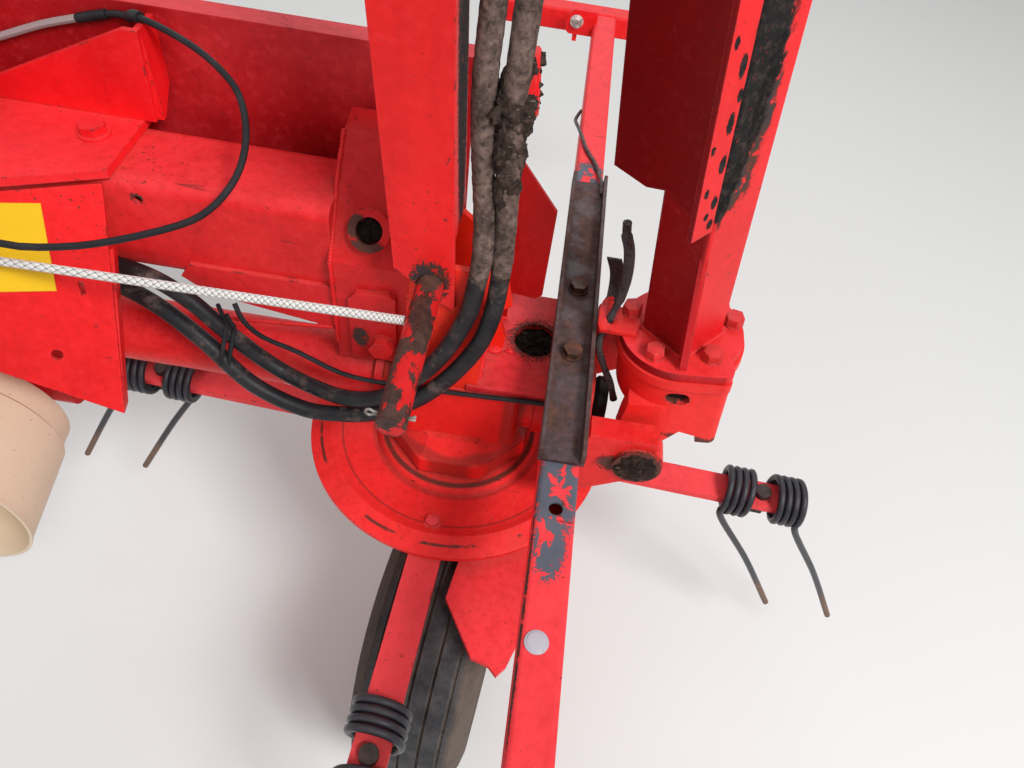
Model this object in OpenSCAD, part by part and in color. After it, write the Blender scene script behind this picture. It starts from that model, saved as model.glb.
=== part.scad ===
// Inner rotor unit of a folding hay tedder, parked with its wing folded up.
// Millimetres, Z up. The tractor drives away towards -Y, the wing is on the +X side.
// The model is drawn around the rotor's axis, with z = 0 on the ground, and moved at
// the end so that the origin is the middle of the main beam's inboard flange.

/* [Main beam] */
// Depth of the beam, front to back
beam_w = 100; // [80:5:110]
// Height of the beam
beam_h = 120; // [100:5:130]
// Wall of the beam
beam_wall = 6; // [4:1:10]
// Middle of the beam behind the rotor's axis
beam_y = 32; // [20:1:45]
// Middle of the beam above the ground
beam_z = 738; // [730:1:750]
// Length of the beam from its inboard flange to its end plate
beam_l = 494; // [450:1:530]
// Thickness of the inboard flange
flange_t = 12; // [8:1:20]
// Hole for one bolt of the inboard flange
flange_hole_d = 18; // [14:1:22]

/* [Headstock] */
// Thickness of the cap plate over the beam
cap_t = 10; // [6:1:14]
// Thickness of the folded sheets
sheet_t = 6; // [3:1:8]
// Slope of the front sheet from upright
sheet_slope = 25; // [15:1:35]
// Turn of the cap's front edge from square
cap_turn = 23; // [10:1:30]
// Height of the rear guard's top edge
guard_top_z = 915; // [880:5:950]

/* [Gearbox and drive] */
// Height of the drive shaft's axis
shaft_z = 552; // [548:1:556]
// Height of the input shaft's axis
input_z = 483; // [475:1:490]
// Diameter of the round drive housing
drive_d = 80; // [60:2:90]
// Height of the top face of the frame plate over the gearbox
plate_z = 620; // [612:1:630]
// Thickness of the frame plate
plate_t = 10; // [8:1:14]
// Radius of the guard around the input shaft at its open end
bell_r = 108; // [95:1:115]
// Wall of the guard around the input shaft
bell_wall = 4; // [3:1:6]

/* [Rotor] */
// Radius of the rotor's disc
disc_r = 195; // [180:1:205]
// Height of the arms' underside
arm_z = 430; // [428:1:434]
// Thickness of an arm
arm_t = 10; // [8:1:12]
// Width of an arm
arm_w = 40; // [30:1:50]
// Number of arms
arm_n = 4; // [4:1:6]
// Radius to the middle of the spring coils
coil_at = 418; // [400:1:440]
// Outer diameter of a spring coil
coil_d = 68; // [60:1:72]
// Diameter of the spring wire
wire_d = 9.5; // [8:0.5:11]
// Turns of one coil
coil_turns = 3.75; // [2.75:1:4.75]
// Height of the tine tips
tip_z = 150; // [120:5:170]
// How far out a tine's tip lies from its coil
leg_out = 160; // [140:1:170]
// How far to the side a tine's tip lies from its arm's middle
leg_side = -5; // [-40:1:40]

/* [Wheel] */
// Tyre diameter
tyre_d = 410; // [380:5:414]
// Tyre width
tyre_w = 156; // [130:2:166]
// Rim diameter
rim_d = 203; // [190:1:215]
// Wheel centre sideways of the rotor's axis
wheel_x = 16; // [10:1:24]
// Wheel centre behind the rotor's axis
wheel_y = -175; // [-185:1:-160]
// Wheel turned from straight ahead
wheel_turn = -6; // [-10:1:0]
// Diameter of the fixed leg that the rotor turns on
leg_d = 48; // [40:1:56]
// Diameter of the wheel's axle
axle_d = 25; // [20:1:30]

/* [Wing hinge] */
// Hinge axis outboard of the rotor's axis
hinge_x = 216; // [212:1:220]
// Height of the hinge axis above the drive shaft's axis
hinge_up = 28; // [25:1:31]
// Hinge pin diameter
pin_d = 30; // [24:1:34]
// Running clearance all round in a bore
run_gap = 0.05; // [0.03:0.01:0.08]
// Fold of the wing, from flat outboard to the parked position
fold_deg = 97; // [90:1:100]
// Radius of the wing's round casting
drum_r = 66; // [60:1:66]
// Length of the wing's round casting
drum_l = 106; // [102:1:112]
// Drop of the wing beam's middle below the hinge axis when flat out
wing_drop = 35.5; // [33:0.5:38]

/* [Wing] */
// Side of the square wing beam, which lies on its corner
wing_s = 64; // [56:1:66]
// Wall of the wing beam
wing_wall = 5; // [4:1:8]
// Length from the hinge axis to the outer flange
wing_l = 616; // [556:10:696]
// Circle of the outer flange's bolts
wing_pcd = 120; // [112:1:124]

/* [Guard bar and mast] */
// Side of the square guard bar
bar_s = 40; // [35:1:45]
// Middle of the guard bar outboard of the rotor's axis
bar_x = 122; // [119:1:126]
// Height of the mast's top
mast_top_z = 1250; // [1150:10:1300]
// Peg diameter
peg_d = 27; // [24:1:30]
// Hose diameter
hose_d = 19; // [16:1:20]

/* [Hidden] */
$fn = 64;

// Gap that keeps two seated pieces apart
seat = 0.3;
// Inboard end, outboard end and faces of the main beam
beam_in = -640;
beam_out = beam_in + beam_l;
beam_top = beam_z + beam_h / 2;
beam_front = beam_y - beam_w / 2;
beam_back = beam_y + beam_w / 2;
beam_bottom = beam_z - beam_h / 2;
flange_w = beam_w + 90;
flange_h = beam_h + 90;
plate_bottom = plate_z - plate_t;
hinge_z = shaft_z + hinge_up;
disc_z = arm_z + arm_t + seat;
hub_top = disc_z + 24;
gear_bottom = hub_top + 5;
leg_r = leg_d / 2;
bar_z = plate_z + seat + bar_s / 2;
bar_top = bar_z + bar_s / 2;
centre_x = -560;
tyre_r = tyre_d / 2;
// Height of the axle: the tyre's top keeps clear of the arms
axle_z = arm_z - 20 - tyre_r;
rim_r = rim_d / 2;
bracket_z = arm_z - 14;
channel_w = 47;
// Far side of the wing's casting from its middle
drum_flat = 54;
// Ends of the hoses under the mast's top
hose_top = mast_top_z - 70;
// Front face and lower right edge of the mast's foot, height of its peg
foot_front = -66 + 6 + seat;
foot_right = 10;
peg_z = 771;
// Hole in the frame plate over the rotor's gearbox
gear_hole = [81, 24];

red = [0.82, 0.10, 0.08];
dark_red = [0.55, 0.07, 0.07];
black = [0.12, 0.12, 0.13];
rust = [0.36, 0.24, 0.19];
steel = [0.55, 0.53, 0.50];

// Moves the model from the rotor's axis to the middle of the inboard flange's face.
module at_mount() translate([-beam_in + flange_t, -beam_y, -beam_z]) children();

// Oblong with round corners.
module rounded(w, h, r) {
    square([w - 2 * r, h], center = true);
    square([w, h - 2 * r], center = true);
    for (x = [-1, 1], y = [-1, 1]) translate([x * (w / 2 - r), y * (h / 2 - r)]) circle(r);
}

// Section of a hollow tube with round corners.
module tube_section(w, h, r, wall) {
    difference() {
        rounded(w, h, r);
        rounded(w - 2 * wall, h - 2 * wall, max(r - wall, 1));
    }
}

// Extrudes an outline along X: its x becomes Y, its y becomes Z.
module along_x(x0, x1) translate([x0, 0, 0]) rotate([90, 0, 90]) linear_extrude(x1 - x0) children();

// Extrudes an outline along Y: its x stays X, its y becomes Z.
module along_y(y0, y1) translate([0, y1, 0]) rotate([90, 0, 0]) linear_extrude(y1 - y0) children();

// Round rod between two heights of X or of Y.
module rod_x(x0, x1, r) translate([x0, 0, 0]) rotate([0, 90, 0]) cylinder(h = x1 - x0, r = r);
module rod_y(y0, y1, r) translate([0, y1, 0]) rotate([90, 0, 0]) cylinder(h = y1 - y0, r = r);

// Hexagon head on a round washer, standing on z = 0.
module bolt_head(across, high, washer_d, washer_t) {
    cylinder(h = washer_t, d = washer_d);
    translate([0, 0, washer_t]) cylinder(h = high, d = across / cos(30), $fn = 6);
}

// Solid tube of radius r swept along a list of points, with n sides.
module sweep(path, r, n = 8) {
    last = len(path) - 1;
    function way(i) = let (a = path[max(i - 1, 0)], b = path[min(i + 1, last)], d = b - a) d / norm(d);
    function side(i) = let (t = way(i), u = abs(t[2]) > 0.9 ? [0, 1, 0] : [0, 0, 1], s = cross(t, u)) s / norm(s);
    function carry(i) = i == 0 ? side(0)
        : let (p = carry(i - 1), t = way(i), q = p - (p * t) * t) q / norm(q);
    points = [for (i = [0 : last]) let (s = carry(i), c = cross(way(i), s)) for (k = [0 : n - 1])
        path[i] + r * (cos(360 * k / n) * s + sin(360 * k / n) * c)];
    sides = [for (i = [0 : last - 1]) for (k = [0 : n - 1])
        [i * n + k, i * n + (k + 1) % n, (i + 1) * n + (k + 1) % n, (i + 1) * n + k]];
    start = [[for (k = [0 : n - 1]) n - 1 - k]];
    finish = [[for (k = [0 : n - 1]) last * n + k]];
    polyhedron(points = points, faces = concat(start, sides, finish), convexity = 6);
}

// Points on smooth curves through a list of points, steps to each stretch.
function smooth(p, steps) = let (n = len(p) - 1) concat(
    [for (i = [0 : n - 1]) let (a = p[max(i - 1, 0)], b = p[i], c = p[i + 1], d = p[min(i + 2, n)])
        for (k = [0 : steps - 1]) let (t = k / steps)
            0.5 * (2 * b + (c - a) * t + (2 * a - 5 * b + 4 * c - d) * t * t
            + (3 * b - a - 3 * c + d) * t * t * t)],
    [p[n]]);

// Main beam with its end plate and the flange that it is held by.
module main_beam() color(red) at_mount() difference() {
    union() {
        translate([0, beam_y, beam_z]) {
            along_x(beam_in, beam_out - 8) tube_section(beam_w, beam_h, 15, beam_wall);
            along_x(beam_out - 8, beam_out) rounded(beam_w, beam_h, 15);
            along_x(beam_in - flange_t, beam_in) difference() {
                rounded(flange_w, flange_h, 12);
                for (y = [-1, 1], z = [-1, 1])
                    translate([y * (flange_w / 2 - 22), z * (flange_h / 2 - 22)])
                        circle(d = flange_hole_d);
            }
        }
        // Web plate welded along the beam's lower front edge
        along_y(beam_front - 5, beam_front + 3) polygon([[-305, beam_bottom + 23],
            [-318, beam_bottom + 4], [-291, beam_bottom - 17], [beam_out, beam_bottom - 42],
            [beam_out, beam_bottom + 23]]);
    }
    // Rusty hole in the front wall
    translate([-343, 0, beam_top - 22]) rod_y(beam_front - 1, beam_front + beam_wall + 1, 5);
}

// Cap plate over the beam, its front edge turned forward to the left.
module headstock_cap() color(red) at_mount() translate([0, 0, beam_top + seat])
    linear_extrude(cap_t) difference() {
        polygon([[-365, beam_front], [-365, beam_back], [beam_in + 15, beam_back],
            [beam_in + 15, beam_front - 260 * tan(cap_turn)]]);
        for (x = cap_bolt_x) translate([x, beam_y + 3]) circle(d = 17);
    }
cap_bolt_x = [-401, -560];

// Bolts through the cap.
module cap_bolts() color(red) at_mount()
    for (x = cap_bolt_x) translate([x, beam_y + 3, beam_top + seat + cap_t]) {
        bolt_head(24, 10, 32, 3);
        translate([0, 0, -cap_t]) cylinder(h = cap_t, d = 16);
    }

// Places children on the outer face of the sloping front sheet: x runs left to right, y up.
module on_sheet() translate([-365, beam_front, beam_top]) rotate([0, 0, cap_turn])
    rotate([-sheet_slope, 0, 0]) rotate([90, 0, 0]) children();

sheet_l = 258;
// Sloping front sheet under the cap, with its folded right edge.
module side_sheet() color(red) at_mount() on_sheet() {
    translate([0, 0, -sheet_t]) linear_extrude(sheet_t) difference() {
        polygon([[-8, -4], [-10, -20], [-46, -sheet_l], [-151, 69 - sheet_l], [-205, -150], [-270, -150],
            [-270, -4]]);
        translate([-94, -178]) circle(d = 12);
        translate([-52, -108]) square([5, 14], center = true);
    }
    translate([0, 0, -30]) linear_extrude(30 - sheet_t)
        polygon([[-14, -72], [-46, -sheet_l], [-52, 4 - sheet_l], [-20, -72]]);
}

// Blank plate on the front sheet.
module sign_plate() color([0.92, 0.72, 0.08]) at_mount() on_sheet()
    translate([-66, -18, seat]) rotate([0, 0, -6]) translate([-84, -90, 0])
        linear_extrude(1.5) square([84, 90]);

// Upright rear guard with its top flange and its stand-offs.
module rear_guard() color(red) at_mount() {
    back = beam_back + 26;
    along_x(beam_in + 15, -24) polygon([[back, beam_z - 30], [back, guard_top_z],
        [back + 26, guard_top_z], [back + 26, guard_top_z - 4], [back + 4, guard_top_z - 4],
        [back + 4, beam_z - 30]]);
    for (x = [-560, -420, -200]) translate([x, beam_back + seat, beam_z - 20])
        cube([30, 26 - seat, 40]);
}

// Triangular gusset between the cap and the rear guard.
module rear_gusset() color(red) at_mount() {
    foot_z = beam_top + cap_t + 2 * seat;
    tip = guard_top_z - 8;
    along_y(beam_back - 12, beam_back - 6) polygon([[-566, foot_z], [-352, foot_z],
        [-346, tip], [-362, tip]]);
    along_x(-352, -346) polygon([[beam_back - 6, foot_z], [beam_back, foot_z],
        [beam_back + 26 - seat, foot_z + 30], [beam_back + 26 - seat, tip], [beam_back - 6, tip]]);
}

// Gearbox under the headstock, hung from the beam.
module centre_gearbox() color(red) at_mount() {
    difference() {
        union() {
            translate([centre_x, 0, 0]) along_x(-66, 66) translate([0, (shaft_z + input_z) / 2])
                rounded(130, 150, 20);
            translate([centre_x, 0, input_z]) rod_y(-100, -60, 42);
            translate([0, 0, shaft_z]) rod_x(centre_x - 80, centre_x + 90, 50);
            // Hanger up to the beam
            translate([centre_x - 45, beam_y - 30, shaft_z + 50])
                cube([90, 60, beam_z - beam_h / 2 - seat - shaft_z - 50]);
        }
        translate([centre_x, 0, input_z]) rod_y(-101, -40, 20 + run_gap);
    }
}

// Splined input shaft.
module input_shaft() color(steel) at_mount() translate([centre_x, 0, input_z]) {
    rod_y(-120, -40, 20);
    rod_y(-200, -120, 15.5);
    for (a = [0 : 60 : 359]) rotate([0, a, 0]) translate([-4, -200, 14]) cube([8, 70, 3.5]);
}

// Bell-shaped guard around the input shaft.
module input_guard() color([0.80, 0.68, 0.48]) at_mount()
    translate([centre_x, -100 - seat, input_z]) rotate([90, 0, 0]) rotate_extrude($fn = 96)
        polygon([[30, 0], [bell_r - 26, 0], [bell_r - 22, 30], [bell_r - 16, 34], [bell_r, 140],
            [bell_r + 3, 150], [bell_r + 3 - bell_wall, 150], [bell_r - bell_wall, 140],
            [bell_r - 16 - bell_wall, 34 + bell_wall], [bell_r - 26 - bell_wall, bell_wall],
            [30, bell_wall]]);

// Round housing of the drive shaft between the two gearboxes.
module drive_housing() color(red) at_mount() translate([0, 0, shaft_z]) {
    from = centre_x + 90 + seat;
    to = -92 - seat;
    difference() {
        union() {
            rod_x(from, to, drive_d / 2);
            rod_x(from, from + 10, drive_d / 2 + 10);
            rod_x(to - 10, to, drive_d / 2 + 10);
        }
        rod_x(from - 1, to + 1, drive_d / 2 - 6);
    }
}

// Folded bracket at the end of the beam, down to the frame plate.
module end_bracket() color(red) at_mount() {
    left = beam_out + seat;
    right = -62;
    front = beam_front - 8;
    // Side view of the folded front sheet: upright, leaning back, then nearly level
    outer = [[front, plate_z], [front, 742], [20, 808], [58, 846], [beam_back + 8, 852]];
    inner = [[beam_back + 8, 843], [62, 838], [26, 802], [front + 8, 739], [front + 8, plate_z]];
    difference() {
        union() {
            along_x(left, right) polygon(concat(outer, inner));
            along_y(front, front + 8) polygon([[left, plate_bottom - 16], [-104, plate_bottom - 16],
                [-104, plate_bottom], [right, plate_bottom], [right, 700], [left, 700]]);
            along_x(left, left + 8) polygon([[beam_front, plate_z + seat], [front, 742], [20, 808],
                [58, 846], [beam_back + 8, 852], [beam_back + 8, plate_z + seat]]);
            along_y(beam_back + seat, beam_back + 8 + seat)
                polygon([[left, plate_z + seat], [right, plate_z + seat], [right, 850], [left, 850]]);
            // Thick tab that holds the bolt
            along_y(front - 7, front) polygon([[-128, 606], [-76, 606], [-76, 706], [-84, 712],
                [-120, 708], [-128, 698]]);
            at_boss() cylinder(h = 26, d = 44, center = true);
        }
        at_boss() cylinder(h = 60, d = 28, center = true);
    }
    translate([-92, front - 7, 634]) rotate([90, 0, 0]) bolt_head(24, 10, 30, 2.5);
}
// Places children on the leaning part of the front sheet, along its normal.
module at_boss() translate([-106, -4, 774]) rotate([55, 0, 0]) children();

// Flat plate that ties the beam's bracket, the gearbox and the guard bar together.
module frame_plate() color(red) at_mount() translate([0, 0, plate_bottom]) linear_extrude(plate_t)
    difference() {
        polygon([[beam_out + seat, beam_front + seat], [-62 + seat, beam_front + seat],
            [-62 + seat, foot_front + 8 + seat], [foot_right + seat, foot_front + 8 + seat],
            [foot_right + seat, -62], [150, -62], [150, 100], [beam_out + seat, 100]]);
        translate(gear_hole) circle(d = 52);
    }

// Eight-sided block, w0 across its flats below and w1 above.
module eight_sided(h, w0, w1) intersection_for (a = [0 : 45 : 135]) rotate([0, 0, a])
    along_y(-w0, w0) polygon([[-w0 / 2, 0], [w0 / 2, 0], [w1 / 2, h], [-w1 / 2, h]]);

// Rotor gearbox: flat-sided hat below, box above, and a socket for the leg.
module gearbox_housing() color(red) at_mount() {
    top = plate_bottom - seat;
    difference() {
        union() {
            translate([0, 0, gear_bottom]) eight_sided(26, 178, 178);
            translate([0, 0, gear_bottom + 25]) eight_sided(25, 178, 140);
            translate([0, 0, gear_bottom + 45]) linear_extrude(top - gear_bottom - 45)
                rounded(150, 124, 14);
            translate([0, 0, shaft_z]) rod_x(-92, 92, 46);
        }
        translate([0, 0, gear_bottom - 1]) cylinder(h = 60, r = leg_r + run_gap);
    }
    // Ledge under the hole in the frame plate
    translate([gear_hole[0], gear_hole[1], top - 6]) cylinder(h = 6, d = 62);
}

// Fixed leg through the rotor's hub.
module wheel_leg() color(steel) at_mount()
    translate([0, 0, bracket_z + 8 + seat]) cylinder(h = gear_bottom + 58 - bracket_z - 8, r = leg_r);

// Folded bracket from the leg over the tyre and down to the axle.
module wheel_bracket() color(red) at_mount() {
    side = tyre_w / 2 + 14;
    translate([0, 0, bracket_z]) linear_extrude(8)
        polygon([[-46, 40], [-46, -60], [33, -170], [24, -230], [65, -296], [86, -302], [96, -312],
            [106, -300], [128, -236], [134, 40], [80, 60]]);
    translate([wheel_x, wheel_y, 0]) rotate([0, 0, wheel_turn]) {
        along_x(side, side + 8) polygon([[-110, bracket_z], [140, bracket_z], [30, axle_z - 30],
            [-30, axle_z - 30]]);
        translate([0, 0, axle_z]) rod_x(-52, side, axle_d / 2);
        translate([0, 0, axle_z]) rod_x(side - 8, side, axle_d / 2 + 8);
    }
}

// Fixed half of the wing hinge: round housing, cross-bar and two cheeks with bosses.
module hinge_yoke() color(red) at_mount() difference() {
    inner = 76;
    outer = 104;
    union() {
        translate([0, 0, shaft_z]) rod_x(92 + seat, 160, 50);
        along_x(112, 160) translate([0, shaft_z - 10]) rounded(2 * outer, 84, 12);
        for (s = [-1, 1]) {
            along_y(s > 0 ? inner : -outer, s > 0 ? outer : -inner) {
                translate([hinge_x, hinge_z]) circle(r = 30);
                polygon([[112, shaft_z - 50], [150, shaft_z - 50], [hinge_x + 6, hinge_z - 29],
                    [hinge_x + 16, hinge_z - 20], [hinge_x + 16, hinge_z + 40], [156, hinge_z + 40],
                    [150, hinge_z + 11], [112, hinge_z + 11]]);
            }
            translate([hinge_x, s * (outer + 2), hinge_z]) rod_y(-4, 4, 28);
        }
    }
    translate([hinge_x, 0, hinge_z]) rod_y(-111, 111, pin_d / 2 + run_gap);
    translate([0, 0, shaft_z]) rod_x(91, 161, 34);
}

// Hinge pin.
module hinge_pin() color(rust) at_mount() translate([hinge_x, 0, hinge_z])
    rod_y(-101, 101, pin_d / 2);

// Upright mast, a channel that widens upward, with an eye at its top.
module mast() color(red) at_mount() {
    foot = 748;
    front = -66;
    flange_z = 830;
    eye_z = mast_top_z - 40;
    left = -69 - (mast_top_z - foot) * 0.06;
    right = -8 - (mast_top_z - foot) * 0.039;
    at_flange = (flange_z - foot) / (mast_top_z - foot);
    left_low = -69 + (left + 69) * at_flange;
    right_low = -8 + (right + 8) * at_flange;
    along_y(front, front + 6) difference() {
        polygon([[-8, foot - 8], [right, mast_top_z], [left, mast_top_z], [-69, foot + 38], [-22, foot]]);
        translate([-33, peg_z]) circle(d = peg_d + 1);
        translate([-62, eye_z]) circle(d = 25);
    }
    // Side flanges of the channel
    along_y(front + 6, front + 62) polygon([[right_low - 6, flange_z], [right - 6, mast_top_z],
        [right, mast_top_z], [right_low, flange_z]]);
    along_y(front + 6, front + 62) polygon([[left_low, flange_z], [left_low + 6, flange_z],
        [left + 6, mast_top_z], [left, mast_top_z]]);
}

// Bracket that carries the mast: front plate, rounded rear plate and two webs between them.
module mast_foot() color(red) at_mount() {
    base = plate_z + seat;
    along_y(foot_front, foot_front + 8) difference() {
        polygon([[-60, plate_bottom], [foot_right, plate_bottom], [foot_right, base], [23, base],
            [23, 700], [12, 790], [-54, 790]]);
        translate([-33, peg_z]) circle(d = peg_d + 2 * run_gap);
    }
    along_y(0, 8) polygon([[-60, base], [44, base], [45, 640], [33, 681], [48, 694], [37, 741],
        [20, 777], [0, 801], [-12, 811], [-50, 811], [-60, 790]]);
    for (x = [-60, 15]) along_x(x, x + 8) polygon([[foot_front + 8, base], [0, base],
        [0, 780], [foot_front + 8, 740]]);
}

// Worn peg that sticks out forward from the mast's foot.
module front_peg() color(rust) at_mount() translate([-33, 0, peg_z]) difference() {
    rod_y(-240, -46, peg_d / 2);
    translate([0, -228, 0]) rotate([0, 90, 0]) cylinder(h = 60, d = 6, center = true);
}

// Split pin through the peg.
module split_pin() color(steel) at_mount() translate([-33, -228, peg_z]) rotate([0, 90, 0])
    cylinder(h = 44, d = 5.8, center = true);

// Taut pull rope from the peg to an eye on the front sheet.
module pull_rope() color([0.90, 0.89, 0.85]) at_mount() {
    sweep([[-46.8, -118, peg_z], [-160, -115, 765], [-300, -110, 757], [-491, -104, 746]], 4.5, 10);
}

// Fore and aft guard bar.
module guard_bar() color(red) at_mount() translate([bar_x, 0, bar_z]) difference() {
    along_y(-560, 800) tube_section(bar_s, bar_s, 6, 3);
    translate([0, -226, 0]) cylinder(h = 60, d = 14);
}

// Cross tube at the far end of the guard bar.
module cross_tube() color(red) at_mount() {
    translate([0, 800 + seat + bar_s / 2, bar_z]) along_x(-90, 330) tube_section(bar_s, bar_s, 6, 3);
    translate([68, 800 + seat - 30, bar_z - bar_s / 2]) cube([8, 30, bar_s]);
}

// Rusty channel on the guard bar.
module rusty_channel() color(rust) at_mount() translate([bar_x, 0, bar_top + seat])
    along_y(-174, 290) difference() {
        translate([-channel_w / 2, 0]) square([channel_w, 20]);
        translate([-channel_w / 2 + 4.5, 4.5]) square([channel_w - 9, 20]);
    }

// Bolts in the channel.
module channel_bolts() color(rust) at_mount() for (y = [-30, 75])
    translate([bar_x, y, bar_top + seat + 4.5 + seat]) bolt_head(19, 8, 24, 2);

// Five-sided shield plate behind the hoses.
module shield_plate() color(red) at_mount() along_y(52, 56)
    polygon([[30, plate_z + seat], [42, plate_z + seat], [42, 664], [72, 661], [80, 668],
        [80, 790], [34, 850], [30, 850]]);

hose_a = [[30, -44, hose_top], [30, -46, hose_top - 120], [28, -50, 965], [32, -50, 860], [34, -60, 800],
    [31, -73, 750], [19, -80, 705], [-10, -85, 652], [-46, -87, 607], [-92, -84, 569],
    [-136, -82, 553], [-180, -84, 556], [-236, -80, 583], [-288, -66, 630], [-338, -50, 656],
    [-385, -34, 662], [-430, -20, 660]];
hose_b = [[6, -44, hose_top], [5, -46, hose_top - 120], [3, -50, 980], [6, -50, 920], [12, -51, 860],
    [15, -61, 815], [12, -71.5, 782], [7, -74, 748], [-8, -80, 706], [-32, -82, 661], [-76, -81, 603],
    [-124, -74, 576], [-176, -60, 571], [-222, -55, 594], [-262, -55, 636], [-298, -50, 672],
    [-338, -40, 688], [-385, -30, 690], [-425, -30, 690]];
// Pressure hoses from the mast down and along the drive housing.
module hose_outer() color(black) at_mount() sweep(smooth(hose_a, 3), hose_d / 2, 10);
module hose_inner() color(black) at_mount() sweep(smooth(hose_b, 3), hose_d / 2, 10);

// Fittings at the hoses' upper ends.
module hose_fittings() color(steel) at_mount() {
    for (x = [30, 6]) translate([x, -44, hose_top + seat]) {
        cylinder(h = 30, d = 20);
        translate([0, 0, 30]) cylinder(h = 16, d = 26, $fn = 6);
    }
    translate([-24, -54, hose_top + 34]) cube([72, 20, 6]);
}

cable = [[-560, -60, 812.1], [-515, -86, 811], [-470, -112, 802], [-418, -124, 793],
    [-372, -112, 788], [-326, -95, 791], [-276, -66, 796], [-252, -48, 805], [-236, -26, 820],
    [-229, -4, 837], [-232, 22, 855], [-243, 44, 873], [-260, 57, 886], [-286, 68, 899],
    [-318, 78, 908], [-348, 88, 911], [-366, 99, 905], [-393, 104, 901], [-465, 104, 879],
    [-514, 104, 859], [-540, 104, 848]];
// Thin cable looped over the beam and along the rear guard.
module thin_cable() color(black) at_mount() sweep(smooth(cable, 3), 3.5, 8);

gear_cable = [[-262, -26.6, 655], [-250, -38, 640], [-225, -50, 632], [-184, -58, 626],
    [-134, -64, 608], [-87, -65.4, 604], [-18, -65.4, 606], [51, -65.4, 610], [97, -65.4, 613],
    [140, -65.4, 612]];
// Thin cable along the front of the rotor gearbox.
module front_cable() color(black) at_mount() sweep(smooth(gear_cable, 3), 3, 8);

// Rotor disc, dished and rolled at its rim, with its hub.
module rotor_disc() color(red) at_mount() translate([0, 0, disc_z]) rotate_extrude($fn = 128)
    polygon([[leg_r + run_gap, 0], [disc_r - 8, 0], [disc_r, 6], [disc_r, 12], [disc_r - 6, 14],
        [disc_r - 26, 20], [disc_r - 40, 14], [110, 12], [104, 20], [90, hub_top - disc_z],
        [leg_r + run_gap, hub_top - disc_z]]);

arm_angles = [for (i = [0 : arm_n - 1]) -3 + i * 360 / arm_n];
// Flat arms under the disc.
module rotor_arms() color(red) at_mount() for (a = arm_angles) rotate([0, 0, a])
    translate([90, -arm_w / 2, arm_z]) cube([coil_at + 55 - 90, arm_w, arm_t]);

// Half of a double tine: its coil from the clamp outward, then its leg; s is the side.
function tine_half(s) = let (r = (coil_d - wire_d) / 2, pitch = wire_d + 0.3,
    axis_z = arm_z + arm_t / 2, steps = 34, foot_x = coil_at + s * (14 + pitch * coil_turns))
    concat([for (k = [0 : steps]) let (a = 180 + coil_turns * 360 * k / steps)
            [coil_at + s * (14 + pitch * coil_turns * k / steps), -r * sin(a), axis_z + r * cos(a)]],
        [[foot_x + 6, -r, axis_z - 28], [foot_x + leg_out, leg_side, tip_z]]);

// One double spring tine round the end of an arm, with legs down and out.
module spring_tine() {
    left = tine_half(-1);
    last = len(left) - 1;
    sweep(concat([for (i = [0 : last]) left[last - i]], tine_half(1)), wire_d / 2, 6);
}
module spring_tines() color(black) at_mount() for (a = arm_angles) rotate([0, 0, a]) spring_tine();

// Clamp block over the wire that joins the coils under the arm, and the bolt's head on top.
module tine_bolts() color(rust) at_mount() for (a = arm_angles) rotate([0, 0, a])
    translate([coil_at, 0, arm_z]) {
        high = (coil_d - wire_d) / 2 - arm_t / 2 - wire_d / 2 - 2 * seat;
        translate([-8, -12, -seat - high]) cube([16, 24, high]);
        translate([0, 0, arm_t + seat]) cylinder(h = 9, d = 21);
    }

// Places the wheel: its axle along X.
module at_wheel() translate([wheel_x, wheel_y, axle_z]) rotate([0, 0, wheel_turn]) children();

// Rim with its hub.
module rim() color(red) at_mount() at_wheel() rotate([0, 90, 0]) rotate_extrude($fn = 96)
    polygon([[axle_d / 2 + run_gap, -48], [26, -48], [26, -6], [70, -6], [rim_r - 12, -52],
        [rim_r - 12, -60], [rim_r, -60], [rim_r - 6, -46], [rim_r - 6, 46], [rim_r, 60],
        [rim_r - 12, 60], [rim_r - 12, 52], [76, 2], [26, 2], [26, 48],
        [axle_d / 2 + run_gap, 48]]);

// Tyre with round shoulders and narrow grooves.
module tyre() color(black) at_mount() at_wheel() rotate([0, 90, 0]) rotate_extrude($fn = 96)
    difference() {
        h = tyre_w / 2;
        polygon([[rim_r + seat, -60], [rim_r + 18, -68], [rim_r + 55, -h], [tyre_r - 30, -h + 4],
            [tyre_r - 8, -h + 18], [tyre_r, -h + 34], [tyre_r, h - 34], [tyre_r - 8, h - 18],
            [tyre_r - 30, h - 4], [rim_r + 55, h], [rim_r + 18, 68], [rim_r + seat, 60]]);
        for (x = [-48, -24, 0, 24, 48]) translate([tyre_r - 6, x - 2]) square([10, 4]);
    }

// Turns children from flat outboard to the parked position, about the hinge axis.
module at_wing() translate([hinge_x, 0, hinge_z]) rotate([0, -fold_deg, 0]) children();

// Section of the wing's casting and flange: round towards the rotor, square on the far side.
module drum_section(grow) {
    circle(r = drum_r + grow);
    difference() {
        translate([0, -drum_flat / 2]) rounded(2 * (drum_r + grow), drum_flat, 10);
        translate([-200, 0]) square([400, 200]);
    }
    translate([-drum_r - grow, -drum_flat / 2]) square([2 * (drum_r + grow), drum_flat / 2]);
}

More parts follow.
